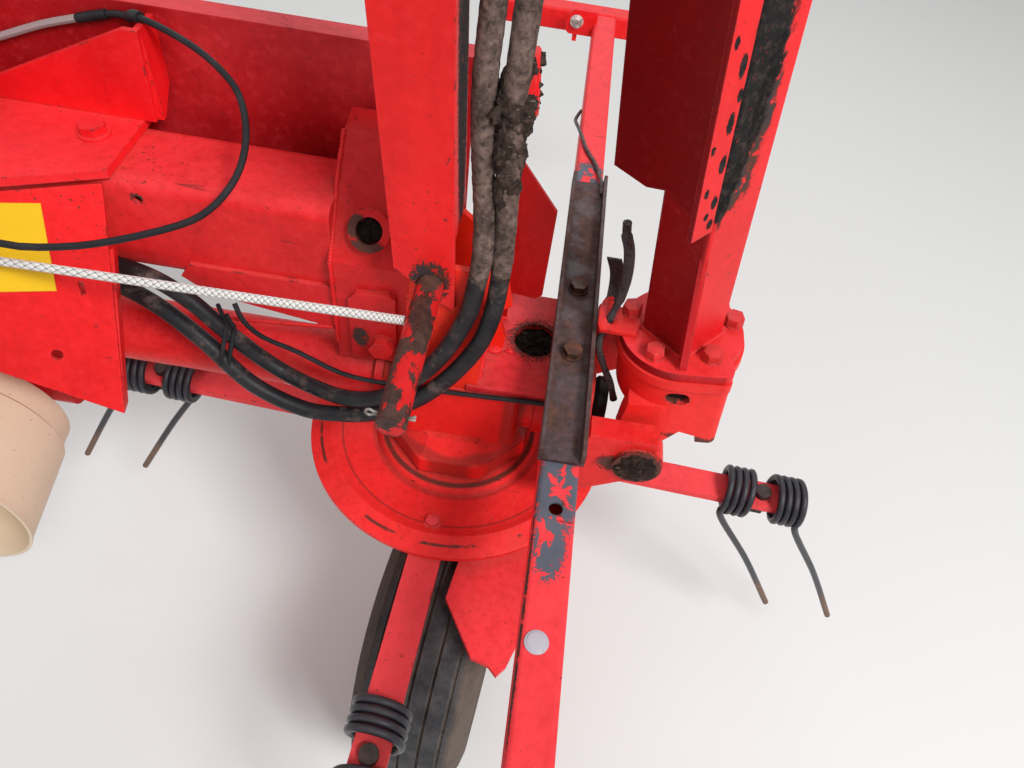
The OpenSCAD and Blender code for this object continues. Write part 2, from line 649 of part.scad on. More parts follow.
// Wing's hinge casting: drum with a rim, cut obliquely over the yoke, and two lugs on the pin.
module wing_casting() color(red) at_mount() at_wing() difference() {
    union() {
        difference() {
            union() {
                along_x(0, drum_l) translate([0, -wing_drop]) drum_section(0);
                along_x(drum_l - 12, drum_l) translate([0, -wing_drop]) drum_section(4);
            }
            along_y(-100, 100) polygon([[-5, 70], [42, 70], [42, 32], [12, -64], [1, -66],
                [1, -95], [-5, -95]]);
        }
        for (s = [-1, 1]) {
            along_y(s > 0 ? 40 : -65.5, s > 0 ? 65.5 : -40) {
                circle(r = 26);
                polygon([[0, 26], [-10, -24], [20, -48], [60, -48], [60, 16], [30, 22]]);
            }
            rod_y(s > 0 ? 60 : -75.5, s > 0 ? 75.5 : -60, 25);
        }
    }
    rod_y(-80, 80, pin_d / 2 + run_gap);
    translate([0, 0, -wing_drop]) rod_x(-1, drum_l + 1, 40);
    for (u = [-4, 4]) translate([76, -70, -wing_drop + u]) rod_y(-10, 40, 9);
}

// Square wing beam on its corner, with its two flanges.
module wing_beam() color(red) at_mount() at_wing() translate([0, 0, -wing_drop]) {
    along_x(drum_l + seat, drum_l + 12) difference() {
        drum_section(1);
        circle(r = 20);
    }
    along_x(drum_l + 12, wing_l - 12) rotate(45) tube_section(wing_s, wing_s, 6, wing_wall);
    // Gusset on the beam's front corner
    translate([0, 0, -4]) linear_extrude(8) polygon([[drum_l + 12, -62], [drum_l + 12, -38],
        [drum_l + 148, -38], [drum_l + 148, -42]]);
    along_x(wing_l - 12, wing_l) difference() {
        rounded(wing_pcd - 8, wing_pcd - 8, 10);
        circle(r = 22);
        for (a = [45 : 90 : 359]) rotate(a) translate([wing_pcd / 2, 0]) circle(d = 13);
    }
}

// Plate on the wing beam's inner front face, its lip at the beam's corner, and the lug with the eye.
module wing_plate() color(dark_red) at_mount() at_wing() translate([0, 0, -wing_drop]) {
    face = wing_s / 2 + seat;
    top = wing_l - 36;
    lug_y = -wing_s / sqrt(2) + 6 * (sqrt(2) - 1) - 8 - seat;
    rotate([-45, 0, 0]) {
        along_y(-face - 8, -face) polygon([[290, -30], [302, 0], [309, 18], [299, 44], [300, 88],
            [top - 40, 88], [top, 40], [top, -30]]);
        along_y(-face - 26, -face) polygon([[290, -32], [top, -32], [top, -26], [290, -26]]);
    }
    along_y(lug_y, lug_y + 8) difference() {
        polygon([[516, 6], [588, 6], [588, 84], [578, 104], [542, 104], [528, 84]]);
        translate([560, 78]) circle(d = 25);
    }
}

// Ribbed rubber boot at the open side of the yoke.
module joint_boot() color(black) at_mount() translate([0, 0, shaft_z])
    rotate([0, 90, 0]) rotate_extrude()
        polygon([[14, 130], [33, 130], [33, 144], [28, 150], [33, 156], [28, 162], [33, 168],
            [33, 179], [14, 179]]);

main_beam();
headstock_cap();
cap_bolts();
side_sheet();
sign_plate();
rear_guard();
rear_gusset();
centre_gearbox();
input_shaft();
input_guard();
drive_housing();
end_bracket();
frame_plate();
gearbox_housing();
wheel_leg();
wheel_bracket();
hinge_yoke();
hinge_pin();
mast();
mast_foot();
front_peg();
split_pin();
pull_rope();
guard_bar();
cross_tube();
rusty_channel();
channel_bolts();
shield_plate();
hose_outer();
hose_inner();
hose_fittings();
thin_cable();
front_cable();
rotor_disc();
rotor_arms();
spring_tines();
tine_bolts();
rim();
tyre();
wing_casting();
wing_beam();
wing_plate();
joint_boot();
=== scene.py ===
"""Finishes, small hardware and stage for the inner rotor unit of a folding hay tedder."""
import math

import bmesh
import bpy
from mathutils import Matrix, Vector, noise


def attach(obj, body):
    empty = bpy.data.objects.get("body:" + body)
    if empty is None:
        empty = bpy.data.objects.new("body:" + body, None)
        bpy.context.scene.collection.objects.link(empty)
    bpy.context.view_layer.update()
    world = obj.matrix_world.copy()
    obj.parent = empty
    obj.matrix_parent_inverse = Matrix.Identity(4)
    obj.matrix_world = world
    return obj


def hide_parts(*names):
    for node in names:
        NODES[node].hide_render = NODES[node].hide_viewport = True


bl_info = {
    "name": "Tedder rotor unit",
    "version": (1, 0, 0),
    "blender": (4, 5, 0),
    "location": "3D View > Sidebar > Tedder",
    "description": "Dresses the rotor unit with worn paint, springs, hoses, bolts, welds and a stage",
    "category": "Object",
}

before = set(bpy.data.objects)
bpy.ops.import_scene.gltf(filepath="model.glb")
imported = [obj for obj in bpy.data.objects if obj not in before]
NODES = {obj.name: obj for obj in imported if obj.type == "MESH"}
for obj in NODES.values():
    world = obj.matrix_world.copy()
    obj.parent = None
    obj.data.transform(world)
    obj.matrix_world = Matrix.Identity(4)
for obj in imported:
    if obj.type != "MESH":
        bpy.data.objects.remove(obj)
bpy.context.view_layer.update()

# Places are in mm from the ground under the rotor's axis: X outboard, Y rearward, Z up.
# GROUND is that point in the frame, in mm.
GROUND = (652, -32, -738)
# Upper face of the frame plate, and the middle of the hole in it
PLATE_TOP = 620
PLATE_HOLE = (81, 24)
# Middle of the guard bar, its upper face to the nearest mm, and its rear end
BAR_X = 122
BAR_TOP = 660
BAR_END = 800
# Axis of the wing's hinge, and how far the wing folds up from flat
HINGE_X = 216
HINGE_Z = 580
FOLD = math.radians(97)
# Lean of the parked wing from upright, in degrees
LEAN = math.degrees(FOLD) - 90
# Middle of the wing beam below the hinge axis when it lies flat, and the reach of the weld round it
WING_DROP = 35.5
WELD_REACH = 46
# Middle of the wheel, and its turn from straight ahead in degrees
WHEEL = (16, -175, 205)
WHEEL_TURN = -6
# Directions of the rotor's arms in degrees
ARM_ANGLES = (-3, 87, 177, 267)
# Tines: middle of a pair of coils along the arm, height of their axis, turns, half the bridge between
# them, and how far out, to the side and how high the tips lie
COIL_AT = 418.0
COIL_Z = 435.0
COIL_TURNS = 3.75
COIL_BRIDGE = 14
TIP_OUT = 160
TIP_SIDE = -5
TIP_Z = 150
# Heights between which the mud on the hoses grows to its full thickness
MUD_START = 792
MUD_FULL = 812


def rotor(x, y, z):
    """A place in mm from the ground under the rotor's axis, in the frame's metres."""
    return Vector((x + GROUND[0], y + GROUND[1], z + GROUND[2])) / 1000


def in_frame(points):
    """Places in mm as a list in the frame's metres."""
    return [rotor(*point) for point in points]


def wing(along, y, up):
    """A place in mm on the wing: along it from the hinge axis, across, and up when it lies flat."""
    c, s = math.cos(FOLD), math.sin(FOLD)
    return rotor(HINGE_X + along * c - up * s, y, HINGE_Z + along * s + up * c)


def wing_way(along, y, up):
    """A direction on the wing, of the same length."""
    return wing(along, y, up) - wing(0, 0, 0)


def facing(at, out, spin=0.0):
    """Matrix that lays a piece's own Z along out, at a place in metres; spin is in degrees."""
    turn = Vector(out).normalized().to_track_quat("Z", "Y").to_matrix().to_4x4()
    return Matrix.Translation(at) @ turn @ Matrix.Rotation(math.radians(spin), 4, "Z")


# Shader maths


class Wire:
    """A socket; sums and products of wires add Math nodes."""

    def __init__(self, surface, socket):
        self.surface, self.socket = surface, socket

    def math(self, operation, *values, first=None):
        sides = [self if first is None else first, *values]
        settings = {"operation": operation}
        return self.surface.node("ShaderNodeMath", settings, dict(enumerate(sides)))["Value"]

    def __add__(self, other):
        return self.math("ADD", other)

    def __sub__(self, other):
        return self.math("SUBTRACT", other)

    def __mul__(self, other):
        return self.math("MULTIPLY", other)

    def __rsub__(self, other):
        return self.math("SUBTRACT", self, first=other)

    __radd__ = __add__
    __rmul__ = __mul__

    def most(self, other):
        return self.math("MAXIMUM", other)

    def band(self, low, high):
        """0 at low, 1 at high, smooth between; low may be the greater."""
        return self.surface.node(
            "ShaderNodeMapRange",
            {"interpolation_type": "SMOOTHSTEP"},
            {"Value": self, "From Min": low, "From Max": high},
        )["Result"]


class Placed:
    """A node whose outputs are wires."""

    def __init__(self, surface, made):
        self.surface, self.made = surface, made

    def __getitem__(self, output):
        return Wire(self.surface, self.made.outputs[output])


class Surface:
    """A node material that is being built, on the piece's own coordinates."""

    # Marks with a half size up to this, in mm, get the finer ragged edge
    SMALL_MARK = 9
    BEVEL_SAMPLES = 4

    def __init__(self, name):
        self.material = bpy.data.materials.new(name)
        self.material.use_nodes = True
        self.tree = self.material.node_tree
        self.tree.nodes.clear()
        self.coords = self.node("ShaderNodeTexCoord")
        self.place = self.coords["Object"]
        self.frayed = {}

    def node(self, kind, settings=None, inputs=None):
        """Adds a node: its settings are set first, then the values or wires of its sockets."""
        made = self.tree.nodes.new(kind)
        for key, value in (settings or {}).items():
            setattr(made, key, value)
        for key, value in (inputs or {}).items():
            if isinstance(value, Wire):
                self.tree.links.new(value.socket, made.inputs[key])
            else:
                made.inputs[key].default_value = value
        return Placed(self, made)

    def vector(self, operation, *values, out="Vector"):
        """Vector Math on wires or plain vectors."""
        return self.node("ShaderNodeVectorMath", {"operation": operation}, dict(enumerate(values)))[out]

    def part(self, vector, axis):
        """One of a vector's X, Y and Z."""
        return self.node("ShaderNodeSeparateXYZ", {}, {0: vector})[axis]

    def stretched(self, scale, turn=(0, 0, 0)):
        """The piece's coordinates, scaled and turned."""
        inputs = {"Vector": self.place, "Scale": scale, "Rotation": turn}
        return self.node("ShaderNodeMapping", {}, inputs)["Vector"]

    def centred(self, at, turn, half=(1.0, 1.0, 1.0)):
        """Coordinates round a place in metres, turned, and measured in half sizes."""
        inputs = {"Vector": self.place, "Location": tuple(at), "Rotation": turn, "Scale": half}
        return self.node("ShaderNodeMapping", {"vector_type": "TEXTURE"}, inputs)["Vector"]

    def noise(self, scale, detail, rough=0.55, place=None, warp=0.0):
        inputs = {"Vector": place or self.place, "Scale": scale, "Detail": detail,
                  "Roughness": rough, "Distortion": warp}
        return self.node("ShaderNodeTexNoise", {}, inputs)["Fac"]

    def mix(self, amount, low, high):
        """Colour low where amount is 0 and high where it is 1; sockets 6 and 7 are the colours."""
        inputs = {0: amount, 6: rgba(low), 7: rgba(high)}
        return self.node("ShaderNodeMix", {"data_type": "RGBA"}, inputs)[2]

    def bevelled(self, radius):
        """The normal, rounded along the edges by a radius in metres."""
        return self.node("ShaderNodeBevel", {"samples": self.BEVEL_SAMPLES}, {"Radius": radius})["Normal"]

    def edge(self, radius=0.004, gain=4.0):
        """About 1 along the piece's edges, 0 on its flats."""
        soft = self.bevelled(radius)
        hard = self.node("ShaderNodeNewGeometry")["Normal"]
        return (1.0 - self.vector("DOT_PRODUCT", soft, hard, out="Value")) * gain

    def hollow(self, reach):
        """1 deep in the piece's corners, 0 in the open."""
        settings = {"samples": 4, "only_local": False}
        return 1.0 - self.node("ShaderNodeAmbientOcclusion", settings, {"Distance": reach})["AO"]

    def up(self):
        """1 where the rest pose's surface faces up."""
        return self.part(self.coords["Normal"], "Z").band(0.1, 0.95)

    def blot(self, centre, half, turn=0.0, ragged=0.35):
        """A ragged mark round a place in mm, with its half sizes in mm, turned about Y in degrees."""
        place = self.centred(rotor(*centre), (0, math.radians(turn), 0), tuple(h / 1000 for h in half))
        away = self.vector("LENGTH", place, out="Value")
        scale = 55.0 if min(half) > self.SMALL_MARK else 380.0
        if scale not in self.frayed:
            self.frayed[scale] = self.noise(scale, 6.0, 0.65)
        level, soft = 2.0 * ragged - 1.0, 0.12
        return (self.frayed[scale] * (4.0 * ragged) - away).band(level - soft, level + soft)

    def blots(self, marks, ragged=0.35):
        """Several marks as one mask, or None where there are none."""
        mask = None
        for mark in marks:
            one = self.blot(*mark, ragged=ragged)
            mask = one if mask is None else mask.most(one)
        return mask

    def from_axis(self):
        """Distance in metres from the rotor's axis."""
        away = self.vector("SUBTRACT", self.place, tuple(rotor(0, 0, 0)))
        flat = self.vector("MULTIPLY", away, (1.0, 1.0, 0.0))
        return self.vector("LENGTH", flat, out="Value")

    def finish(self, colour, rough, metal=0.0, height=None, depth=0.0005, edge=0.0012, **fixed):
        """Closes the material with its one shader; fixed are the shader's own sockets."""
        normal = self.bevelled(edge) if edge else None
        if height is not None:
            bump = {"Height": height, "Strength": 1.0, "Distance": depth}
            if normal is not None:
                bump["Normal"] = normal
            normal = self.node("ShaderNodeBump", {}, bump)["Normal"]
        sockets = {"Base Color": rgba(colour), "Roughness": rough, "Metallic": metal}
        if normal is not None:
            sockets["Normal"] = normal
        sockets.update({key.replace("_", " "): value for key, value in fixed.items()})
        shader = self.node("ShaderNodeBsdfPrincipled", {}, sockets)
        self.node("ShaderNodeOutputMaterial", {}, {"Surface": shader["BSDF"]})
        return self.material


def rgba(colour):
    """A colour of three numbers gets its fourth; wires pass."""
    return colour if isinstance(colour, Wire) else (*tuple(colour)[:3], 1.0)


def scaled(colour, factor):
    """A darker or lighter shade of a colour."""
    return tuple(min(1.0, c * factor) for c in colour)


# Finishes


def colour_setting(name, description, default):
    return bpy.props.FloatVectorProperty(
        name=name, description=description, subtype="COLOR", size=3, min=0, max=1, default=default)


class TedderPaint(bpy.types.PropertyGroup):
    """Colours and wear of the painted and bare surfaces."""

    red: colour_setting("Red", "Main paint", (0.86, 0.012, 0.014))
    faded: colour_setting("Faded red", "Paint bleached by the sun", (0.92, 0.080, 0.095))
    dirt: colour_setting("Dirt", "Dried mud and dust", (0.20, 0.125, 0.09))
    rust: colour_setting("Rust", "Rust under chipped paint", (0.085, 0.032, 0.020))
    primer: colour_setting("Primer", "Blue-grey primer", (0.13, 0.14, 0.18))
    rubber: colour_setting("Rubber", "Black rubber of the hoses and cables", (0.013, 0.013, 0.016))
    wear: bpy.props.FloatProperty(
        name="Wear", description="How far the edges are chipped", subtype="FACTOR", min=0, max=1, default=0.6)


def look():
    return bpy.context.scene.tedder_paint


class WornPaint(Surface):
    """Worn paint in layers: each changes the tone, and some the roughness and the height."""

    def __init__(self, name, colour, fade, dust):
        super().__init__(name)
        self.look, self.colour, self.fade, self.dust = look(), colour, fade, dust
        self.above, self.rim, self.grain = self.up(), self.edge(), self.noise(170.0, 4.0)
        self.broad = self.noise(5.0, 5.0, 0.6)
        self.tone = self.mix(self.broad.band(0.3, 0.7), scaled(colour, 0.80), scaled(colour, 1.08))
        self.bleach = (self.above * 0.6 + self.broad + self.noise(21.0, 4.0) * 0.3).band(0.45, 1.45) * fade
        self.lay(self.bleach, self.look.faded)

    def lay(self, mask, colour):
        """Covers the tone with a colour where the mask is 1."""
        self.tone = self.mix(mask, self.tone, colour)

    def shade(self, direction, colour):
        """Painted shade: a deeper red on the faces that look one way, as if they lay in shadow."""
        towards = self.vector("DOT_PRODUCT", self.coords["Normal"], tuple(direction), out="Value")
        self.lay(towards.band(0.55, 0.85), self.mix(self.broad, scaled(colour, 0.8), colour))

    def weather(self):
        """Runs down the sides, pale edges and a film of dust."""
        runs = self.noise(24.0, 6.0, 0.62, self.stretched((1.0, 1.0, 0.3)))
        self.lay(runs.band(0.52, 0.78) * 0.35, scaled(self.colour, 0.5))
        self.lay(self.rim.band(0.15, 0.9) * (0.15 + self.fade * 0.5), self.look.faded)
        spread = self.noise(33.0, 7.0, 0.65) * 0.9 + self.above * 0.25 + self.hollow(0.025) * 0.9
        self.film = spread.band(0.6, 1.35) * (self.dust * 0.7)
        self.lay(self.film, self.look.dirt)

    def ring(self, radius, width, amount, broken):
        """A dark circle about the rotor's axis, whole or broken, of dirt; on the disc the ring at the hat's
        foot is also painted shade. Radius and width in mm.
        """
        near = (self.from_axis() - radius / 1000).math("ABSOLUTE")
        mask = (near + self.grain * 0.002).band(width / 1000, width / 2500) * amount
        if broken:
            mask = mask * self.noise(26.0, 5.0, 0.6).band(0.50, 0.56)
        self.lay(mask, scaled(self.look.dirt, 0.22))

    def mottle(self):
        """Fine dark and pale spots."""
        spots = self.noise(95.0, 7.0, 0.72)
        self.lay(spots.band(0.46, 0.66) * (0.10 + self.dust * 0.45), scaled(self.colour, 0.55))
        self.lay(spots.band(0.50, 0.34) * (0.08 + self.fade * 0.2), self.look.faded)

    def scratch(self, amount):
        """Long dark scratches in patches."""
        bared = (0.045, 0.018, 0.016)
        drawn_out = self.stretched((0.05, 1.0, 1.0), (0.3, 0.5, 0.9))
        lines = self.noise(120.0, 2.0, 0.5, drawn_out).band(0.70, 0.725)
        self.lay(lines * self.noise(9.0, 2.0).band(0.50, 0.60) * amount, bared)

    def chip(self, amount, marks):
        """Chipped edges, flecks and worn marks down to rust; the first roughness and height."""
        dark_rust = (0.05, 0.035, 0.036)
        flecks = (self.noise(240.0, 2.0, 0.5) + self.broad * 0.25).band(0.855, 0.875) * amount * 0.8
        ragged = self.rim.math("MINIMUM", 0.40) + self.noise(62.0, 6.0, 0.7) * 1.25
        level = 1.25 - 0.2 * self.look.wear
        gone = (ragged.band(level, level + 0.05) * amount).most(flecks)
        worn = self.blots(marks)
        if worn is not None:
            gone = gone.most(worn * self.noise(90.0, 5.0).band(0.36, 0.44))
        self.lay(gone, self.mix(self.noise(45.0, 3.0).band(0.4, 0.6), self.look.rust, dark_rust))
        self.rough = 0.36 + self.bleach * 0.15 + self.film * 0.40 + gone * 0.30 + self.grain * 0.10
        self.height = self.grain * 0.10 - gone * 0.55

    def prime(self, marks):
        """Bare primer with flakes of paint left on it."""
        mask = self.blots(marks)
        if mask is None:
            return
        mask = mask * (1.0 - self.noise(48.0, 6.0, 0.6, warp=0.6).band(0.53, 0.56))
        primer = self.look.primer
        self.lay(mask, self.mix(self.noise(30.0, 5.0), scaled(primer, 0.6), primer))
        self.height = self.height - mask * 0.6

    def roughcast(self, amount):
        """The grainy skin of a casting."""
        if amount:
            self.height = self.height + self.noise(130.0, 6.0, 0.7) * amount

    def grease(self, marks):
        """Black caked grease; on the mast's right flange the same black is painted shade."""
        mask = self.blots(marks, 0.3)
        if mask is None:
            return
        black, brown = (0.006, 0.005, 0.005), (0.045, 0.030, 0.026)
        mask = mask * (1.0 - self.noise(110.0, 6.0, 0.75).band(0.60, 0.66))
        self.lay(mask, self.mix(self.noise(130.0, 5.0, 0.7).band(0.45, 0.7), black, brown))
        self.rough = self.rough + mask * 0.30
        self.height = self.height + mask * self.noise(40.0, 5.0) * 1.5

    def stain(self, marks):
        """Brown earth and oil."""
        mask = self.blots(marks, 0.4)
        if mask is None:
            return
        dark, brown = (0.022, 0.012, 0.010), (0.12, 0.07, 0.05)
        self.lay(mask * 0.95, self.mix(self.noise(80.0, 5.0), dark, brown))
        self.rough = self.rough + mask * 0.25
        self.height = self.height + mask * self.noise(70.0, 6.0) * 1.8


def painted(name, colour=None, fade=0.3, dust=0.3, chips=1.0, cast=0.0, scratched=0.4, stains=(), bare=(),
            primed=(), greased=(), rings=(), shaded=None):
    """Worn paint. A mark of stains, bare, primed or grease is its middle and its half sizes, both in
    mm, and its turn about Y in degrees where it has one; the grease marks' black is painted shade on the
    mast's flange. A ring is radius, width, amount and whether it is broken; shaded is a direction and the
    colour of painted shade on the faces that look that way."""
    coat = WornPaint(name, colour or look().red, fade, dust)
    if shaded:
        coat.shade(*shaded)
    coat.weather()
    for ring in rings:
        coat.ring(*ring)
    coat.mottle()
    coat.scratch(scratched)
    coat.chip(chips, bare)
    coat.prime(primed)
    coat.roughcast(cast)
    # Black grease, and painted shade where a grease mark stands for the mast flange's shadow
    coat.grease(greased)
    coat.stain(stains)
    return coat.finish(coat.tone, coat.rough, height=coat.height, depth=0.0006, Specular_IOR_Level=0.20)


def bare_steel(name, colour, rust, shine, paint=0.0):
    """Bare or rusted steel; rust and shine run from 0 to 1, and paint leaves flakes of red."""
    orange_rust, old_red = (0.19, 0.070, 0.036), (0.42, 0.012, 0.012)
    p = look()
    s = Surface(name)
    pits = s.noise(120.0, 6.0, 0.7)
    patch = (s.noise(22.0, 6.0, 0.65) + s.edge() * 0.2).band(0.62 - 0.3 * rust, 0.80 - 0.3 * rust)
    tone = s.mix(pits.band(0.3, 0.7), scaled(colour, 0.35), scaled(colour, 1.6))
    rusty = s.mix(s.noise(90.0, 6.0, 0.7).band(0.4, 0.7), scaled(p.rust, 0.6), orange_rust)
    tone = s.mix(patch * rust, tone, rusty)
    dusty = (s.up() * 0.5 + s.noise(16.0, 5.0)).band(0.55, 1.2)
    tone = s.mix(dusty * 0.15, tone, p.dirt)
    metal = (1.0 - patch) * shine
    height = pits * 0.6 + patch * 0.3
    if paint:
        level = 0.66 - 0.25 * paint
        flake = s.noise(46.0, 8.0, 0.68, s.stretched((1.0, 0.6, 1.0))) - s.edge() * 0.25
        flake = flake.band(level, level + 0.03)
        tone = s.mix(flake, tone, s.mix(s.noise(60.0, 5.0), old_red, p.red))
        metal = metal * (1.0 - flake)
        height = height + flake * 0.8
    return s.finish(tone, 0.42 + patch * 0.4 + pits * 0.12, metal, height, Specular_IOR_Level=0.35)


def rubber(name, colour=None, mud=0.0, mud_above=None, gloss=0.45):
    """Dusty black rubber with dried mud: spots, more of them the higher mud is, or a crust above
    mud_above, a height in mm."""
    bloom, damp, dry, cracked = ((0.050, 0.046, 0.046), (0.060, 0.040, 0.033), (0.26, 0.175, 0.145),
                                 (0.026, 0.018, 0.015))
    s = Surface(name)
    fine = s.noise(300.0, 4.0)
    crust = s.noise(120.0, 7.0, 0.75, warp=0.3)
    clods = s.noise(30.0, 6.0, 0.65)
    if mud_above is None:
        mask = crust.band(0.70 - 0.35 * mud, 0.78 - 0.35 * mud)
    else:
        steep, soft = 60.0, 0.12
        level = (mud_above + GROUND[2]) / 1000 * steep
        wavy = s.part(s.place, "Z") * steep + (s.noise(260.0, 3.0) - 0.5) * 1.6
        over = wavy.band(level - soft, level + soft)
        mask = (clods.band(0.52, 0.66) * 0.45).most(over * (0.62 + crust.band(0.25, 0.55) * 0.38))
    tone = s.mix(s.noise(40.0, 5.0).band(0.4, 0.75) * 0.4, colour or look().rubber, bloom)
    dried = s.mix((clods * 0.5 + s.noise(210.0, 6.0, 0.75) * 0.5).band(0.34, 0.66), damp, dry)
    dried = s.mix(crust.band(0.46, 0.34) * 0.6, dried, cracked)
    tone = s.mix(mask, tone, dried)
    rough = gloss + fine * 0.15 + mask * 0.4
    height = fine * 0.2 + mask * (crust * 1.6 + 0.8)
    return s.finish(tone, rough, height=height, depth=0.0014, Specular_IOR_Level=0.22)


def tyre_rubber(name):
    """Worn tyre: black tread with dry mud in its grooves and brown side walls."""
    black, grey, crack = (0.026, 0.025, 0.028), (0.070, 0.066, 0.070), (0.012, 0.011, 0.012)
    dark_mud, mud = (0.040, 0.028, 0.022), (0.12, 0.085, 0.066)
    groove_mud, side_mud = (0.15, 0.12, 0.10), (0.17, 0.13, 0.105)
    s = Surface(name)
    across = s.part(s.centred(rotor(*WHEEL), (0, 0, math.radians(WHEEL_TURN))), "X")
    side = across.math("ABSOLUTE")
    wander = s.noise(40.0, 6.0, 0.65)
    # Ribs 24 mm apart
    groove = 1.0 - (across * 1000.0).math("PINGPONG", 12.0).band(1.6, 3.4)
    tread = 1.0 - side.band(0.050, 0.056)
    cracks = s.noise(160.0, 6.0, 0.75, s.stretched((2.5, 1.0, 1.0)))
    tone = s.mix(wander.band(0.35, 0.7), black, grey)
    tone = s.mix(cracks.band(0.58, 0.66) * 0.5, tone, crack)
    muddy = (side.band(0.046, 0.066) * 0.55 + wander).band(0.66, 1.05)
    brown = s.mix(s.noise(90.0, 5.0), dark_mud, mud)
    tone = s.mix(muddy * 0.85, tone, brown)
    tone = s.mix(groove * tread * (0.35 + wander.band(0.40, 0.60) * 0.6), tone, groove_mud)
    tone = s.mix(across.band(0.050, 0.062) * (0.35 + wander.band(0.30, 0.60) * 0.3), tone, side_mud)
    tone = s.mix(wander.band(0.60, 0.75) * 0.4, tone, brown)
    height = cracks * 0.8 + muddy * s.noise(120.0, 5.0)
    rough = 0.62 + muddy * 0.25 + cracks * 0.1
    return s.finish(tone, rough, height=height, depth=0.0009, Specular_IOR_Level=0.3)


def moulded(name, colour, stained, gloss=0.4):
    """Moulded plastic with a dusty film, brown specks and fine scuffs."""
    speck = (0.14, 0.10, 0.07)
    s = Surface(name)
    film = (s.noise(10.0, 6.0, 0.6) + s.hollow(0.05) * 0.6).band(0.45, 0.95) * stained
    tone = s.mix(s.noise(5.0, 3.0), scaled(colour, 0.90), colour)
    tone = s.mix(film, tone, look().dirt)
    fine = s.noise(190.0, 4.0, 0.6)
    tone = s.mix(fine.band(0.66, 0.72) * 0.5, tone, speck)
    scuff = s.noise(130.0, 3.0, 0.6, s.stretched((0.1, 1.0, 1.0), (0.0, 0.4, 0.6)))
    return s.finish(tone, gloss + film * 0.4 + scuff * 0.1, height=scuff * 0.3 + fine * 0.2, depth=0.0003,
                    Specular_IOR_Level=0.35)


def braided(name):
    """White braided rope, the braid drawn on the piece's own UV map: across it and along it."""
    # The dark grey between the strands is painted shade; the grimy brown is dirt
    strand_gap_shade, white, grimy = (0.22, 0.20, 0.18), (0.84, 0.82, 0.79), (0.48, 0.42, 0.35)
    s = Surface(name)
    around, along = s.part(s.coords["UV"], "Y") * 4.0, s.part(s.coords["UV"], "X") * 62.0
    left, right = (around + along).math("FRACT"), (along - around).math("FRACT")
    strand = ((left - 0.5).math("ABSOLUTE") * -2.0 + 1.0) * ((right - 0.5).math("ABSOLUTE") * -2.0 + 1.0)
    strand = strand.math("POWER", 0.5)
    grime = s.noise(25.0, 5.0).band(0.5, 0.8)
    tone = s.mix(grime * 0.25, s.mix(strand.band(0.05, 0.40), strand_gap_shade, white), grimy)
    return s.finish(tone, 0.8 + grime * 0.1, height=strand, depth=0.0012, edge=0, Sheen_Weight=0.2)


def spring_steel(name):
    """Dark blued spring wire, dusty, brown towards the tips."""
    blue_black, blue = (0.012, 0.012, 0.017), (0.040, 0.040, 0.052)
    brown, bright_brown, dust = (0.10, 0.045, 0.025), (0.28, 0.15, 0.08), (0.17, 0.145, 0.13)
    s = Surface(name)
    low = s.part(s.place, "Z").math("MULTIPLY", -1.0).band(0.45, 0.57)
    fine = s.noise(260.0, 5.0)
    worn = (s.noise(40.0, 5.0) * 0.6 + low).band(0.55, 1.1)
    tone = s.mix(worn * 0.8, s.mix(fine, blue_black, blue), s.mix(s.noise(90.0, 4.0), brown, bright_brown))
    dusty = (s.up() * 0.4 + s.noise(30.0, 5.0)).band(0.6, 1.1)
    tone = s.mix(dusty * 0.10, tone, dust)
    rough = 0.34 + dusty * 0.3 + worn * 0.2
    return s.finish(tone, rough, (1.0 - worn) * 0.3, fine, depth=0.0003, edge=0)


def caked(name, dark=(0.016, 0.011, 0.009), pale=(0.15, 0.10, 0.075)):
    """Dried earth and grease with straw in it."""
    straw_yellow = (0.33, 0.27, 0.19)
    s = Surface(name)
    grain = s.noise(150.0, 8.0, 0.8)
    clods = s.noise(48.0, 6.0, 0.7, warp=0.6)
    tone = s.mix(grain.band(0.35, 0.65), dark, scaled(pale, 0.55))
    tone = s.mix(clods.band(0.52, 0.68) * 0.8, tone, pale)
    straw = s.noise(210.0, 2.0, 0.5, s.stretched((0.16, 1.0, 1.0), (0.2, 0.9, 0.5))).band(0.68, 0.71)
    tone = s.mix(straw * 0.6, tone, straw_yellow)
    height = grain * 1.2 + clods + straw * 0.5
    return s.finish(tone, 0.9, height=height, depth=0.0022, edge=0, Specular_IOR_Level=0.15)


# Making pieces


def add_piece(name, mesh, material, body, stands_for=None):
    """A finished mesh as an object at the origin that rides on a body; it may stand for a CAD node."""
    piece = bpy.data.objects.new(name, mesh)
    bpy.context.scene.collection.objects.link(piece)
    mesh.materials.append(material)
    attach(piece, body)
    if stands_for:
        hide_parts(stands_for)


def close_piece(bm, name, material, body, smooth=40, stands_for=None):
    """Closes a bmesh into a piece: doubles merged, normals outward, smooth up to an angle in degrees."""
    bmesh.ops.remove_doubles(bm, verts=bm.verts, dist=1e-6)
    bmesh.ops.recalc_face_normals(bm, faces=bm.faces)
    for face in bm.faces:
        face.smooth = True
    for e in bm.edges:
        e.smooth = e.calc_face_angle(0) < math.radians(smooth)
    mesh = bpy.data.meshes.new(name)
    bm.to_mesh(mesh)
    bm.free()
    add_piece(name, mesh, material, body, stands_for)


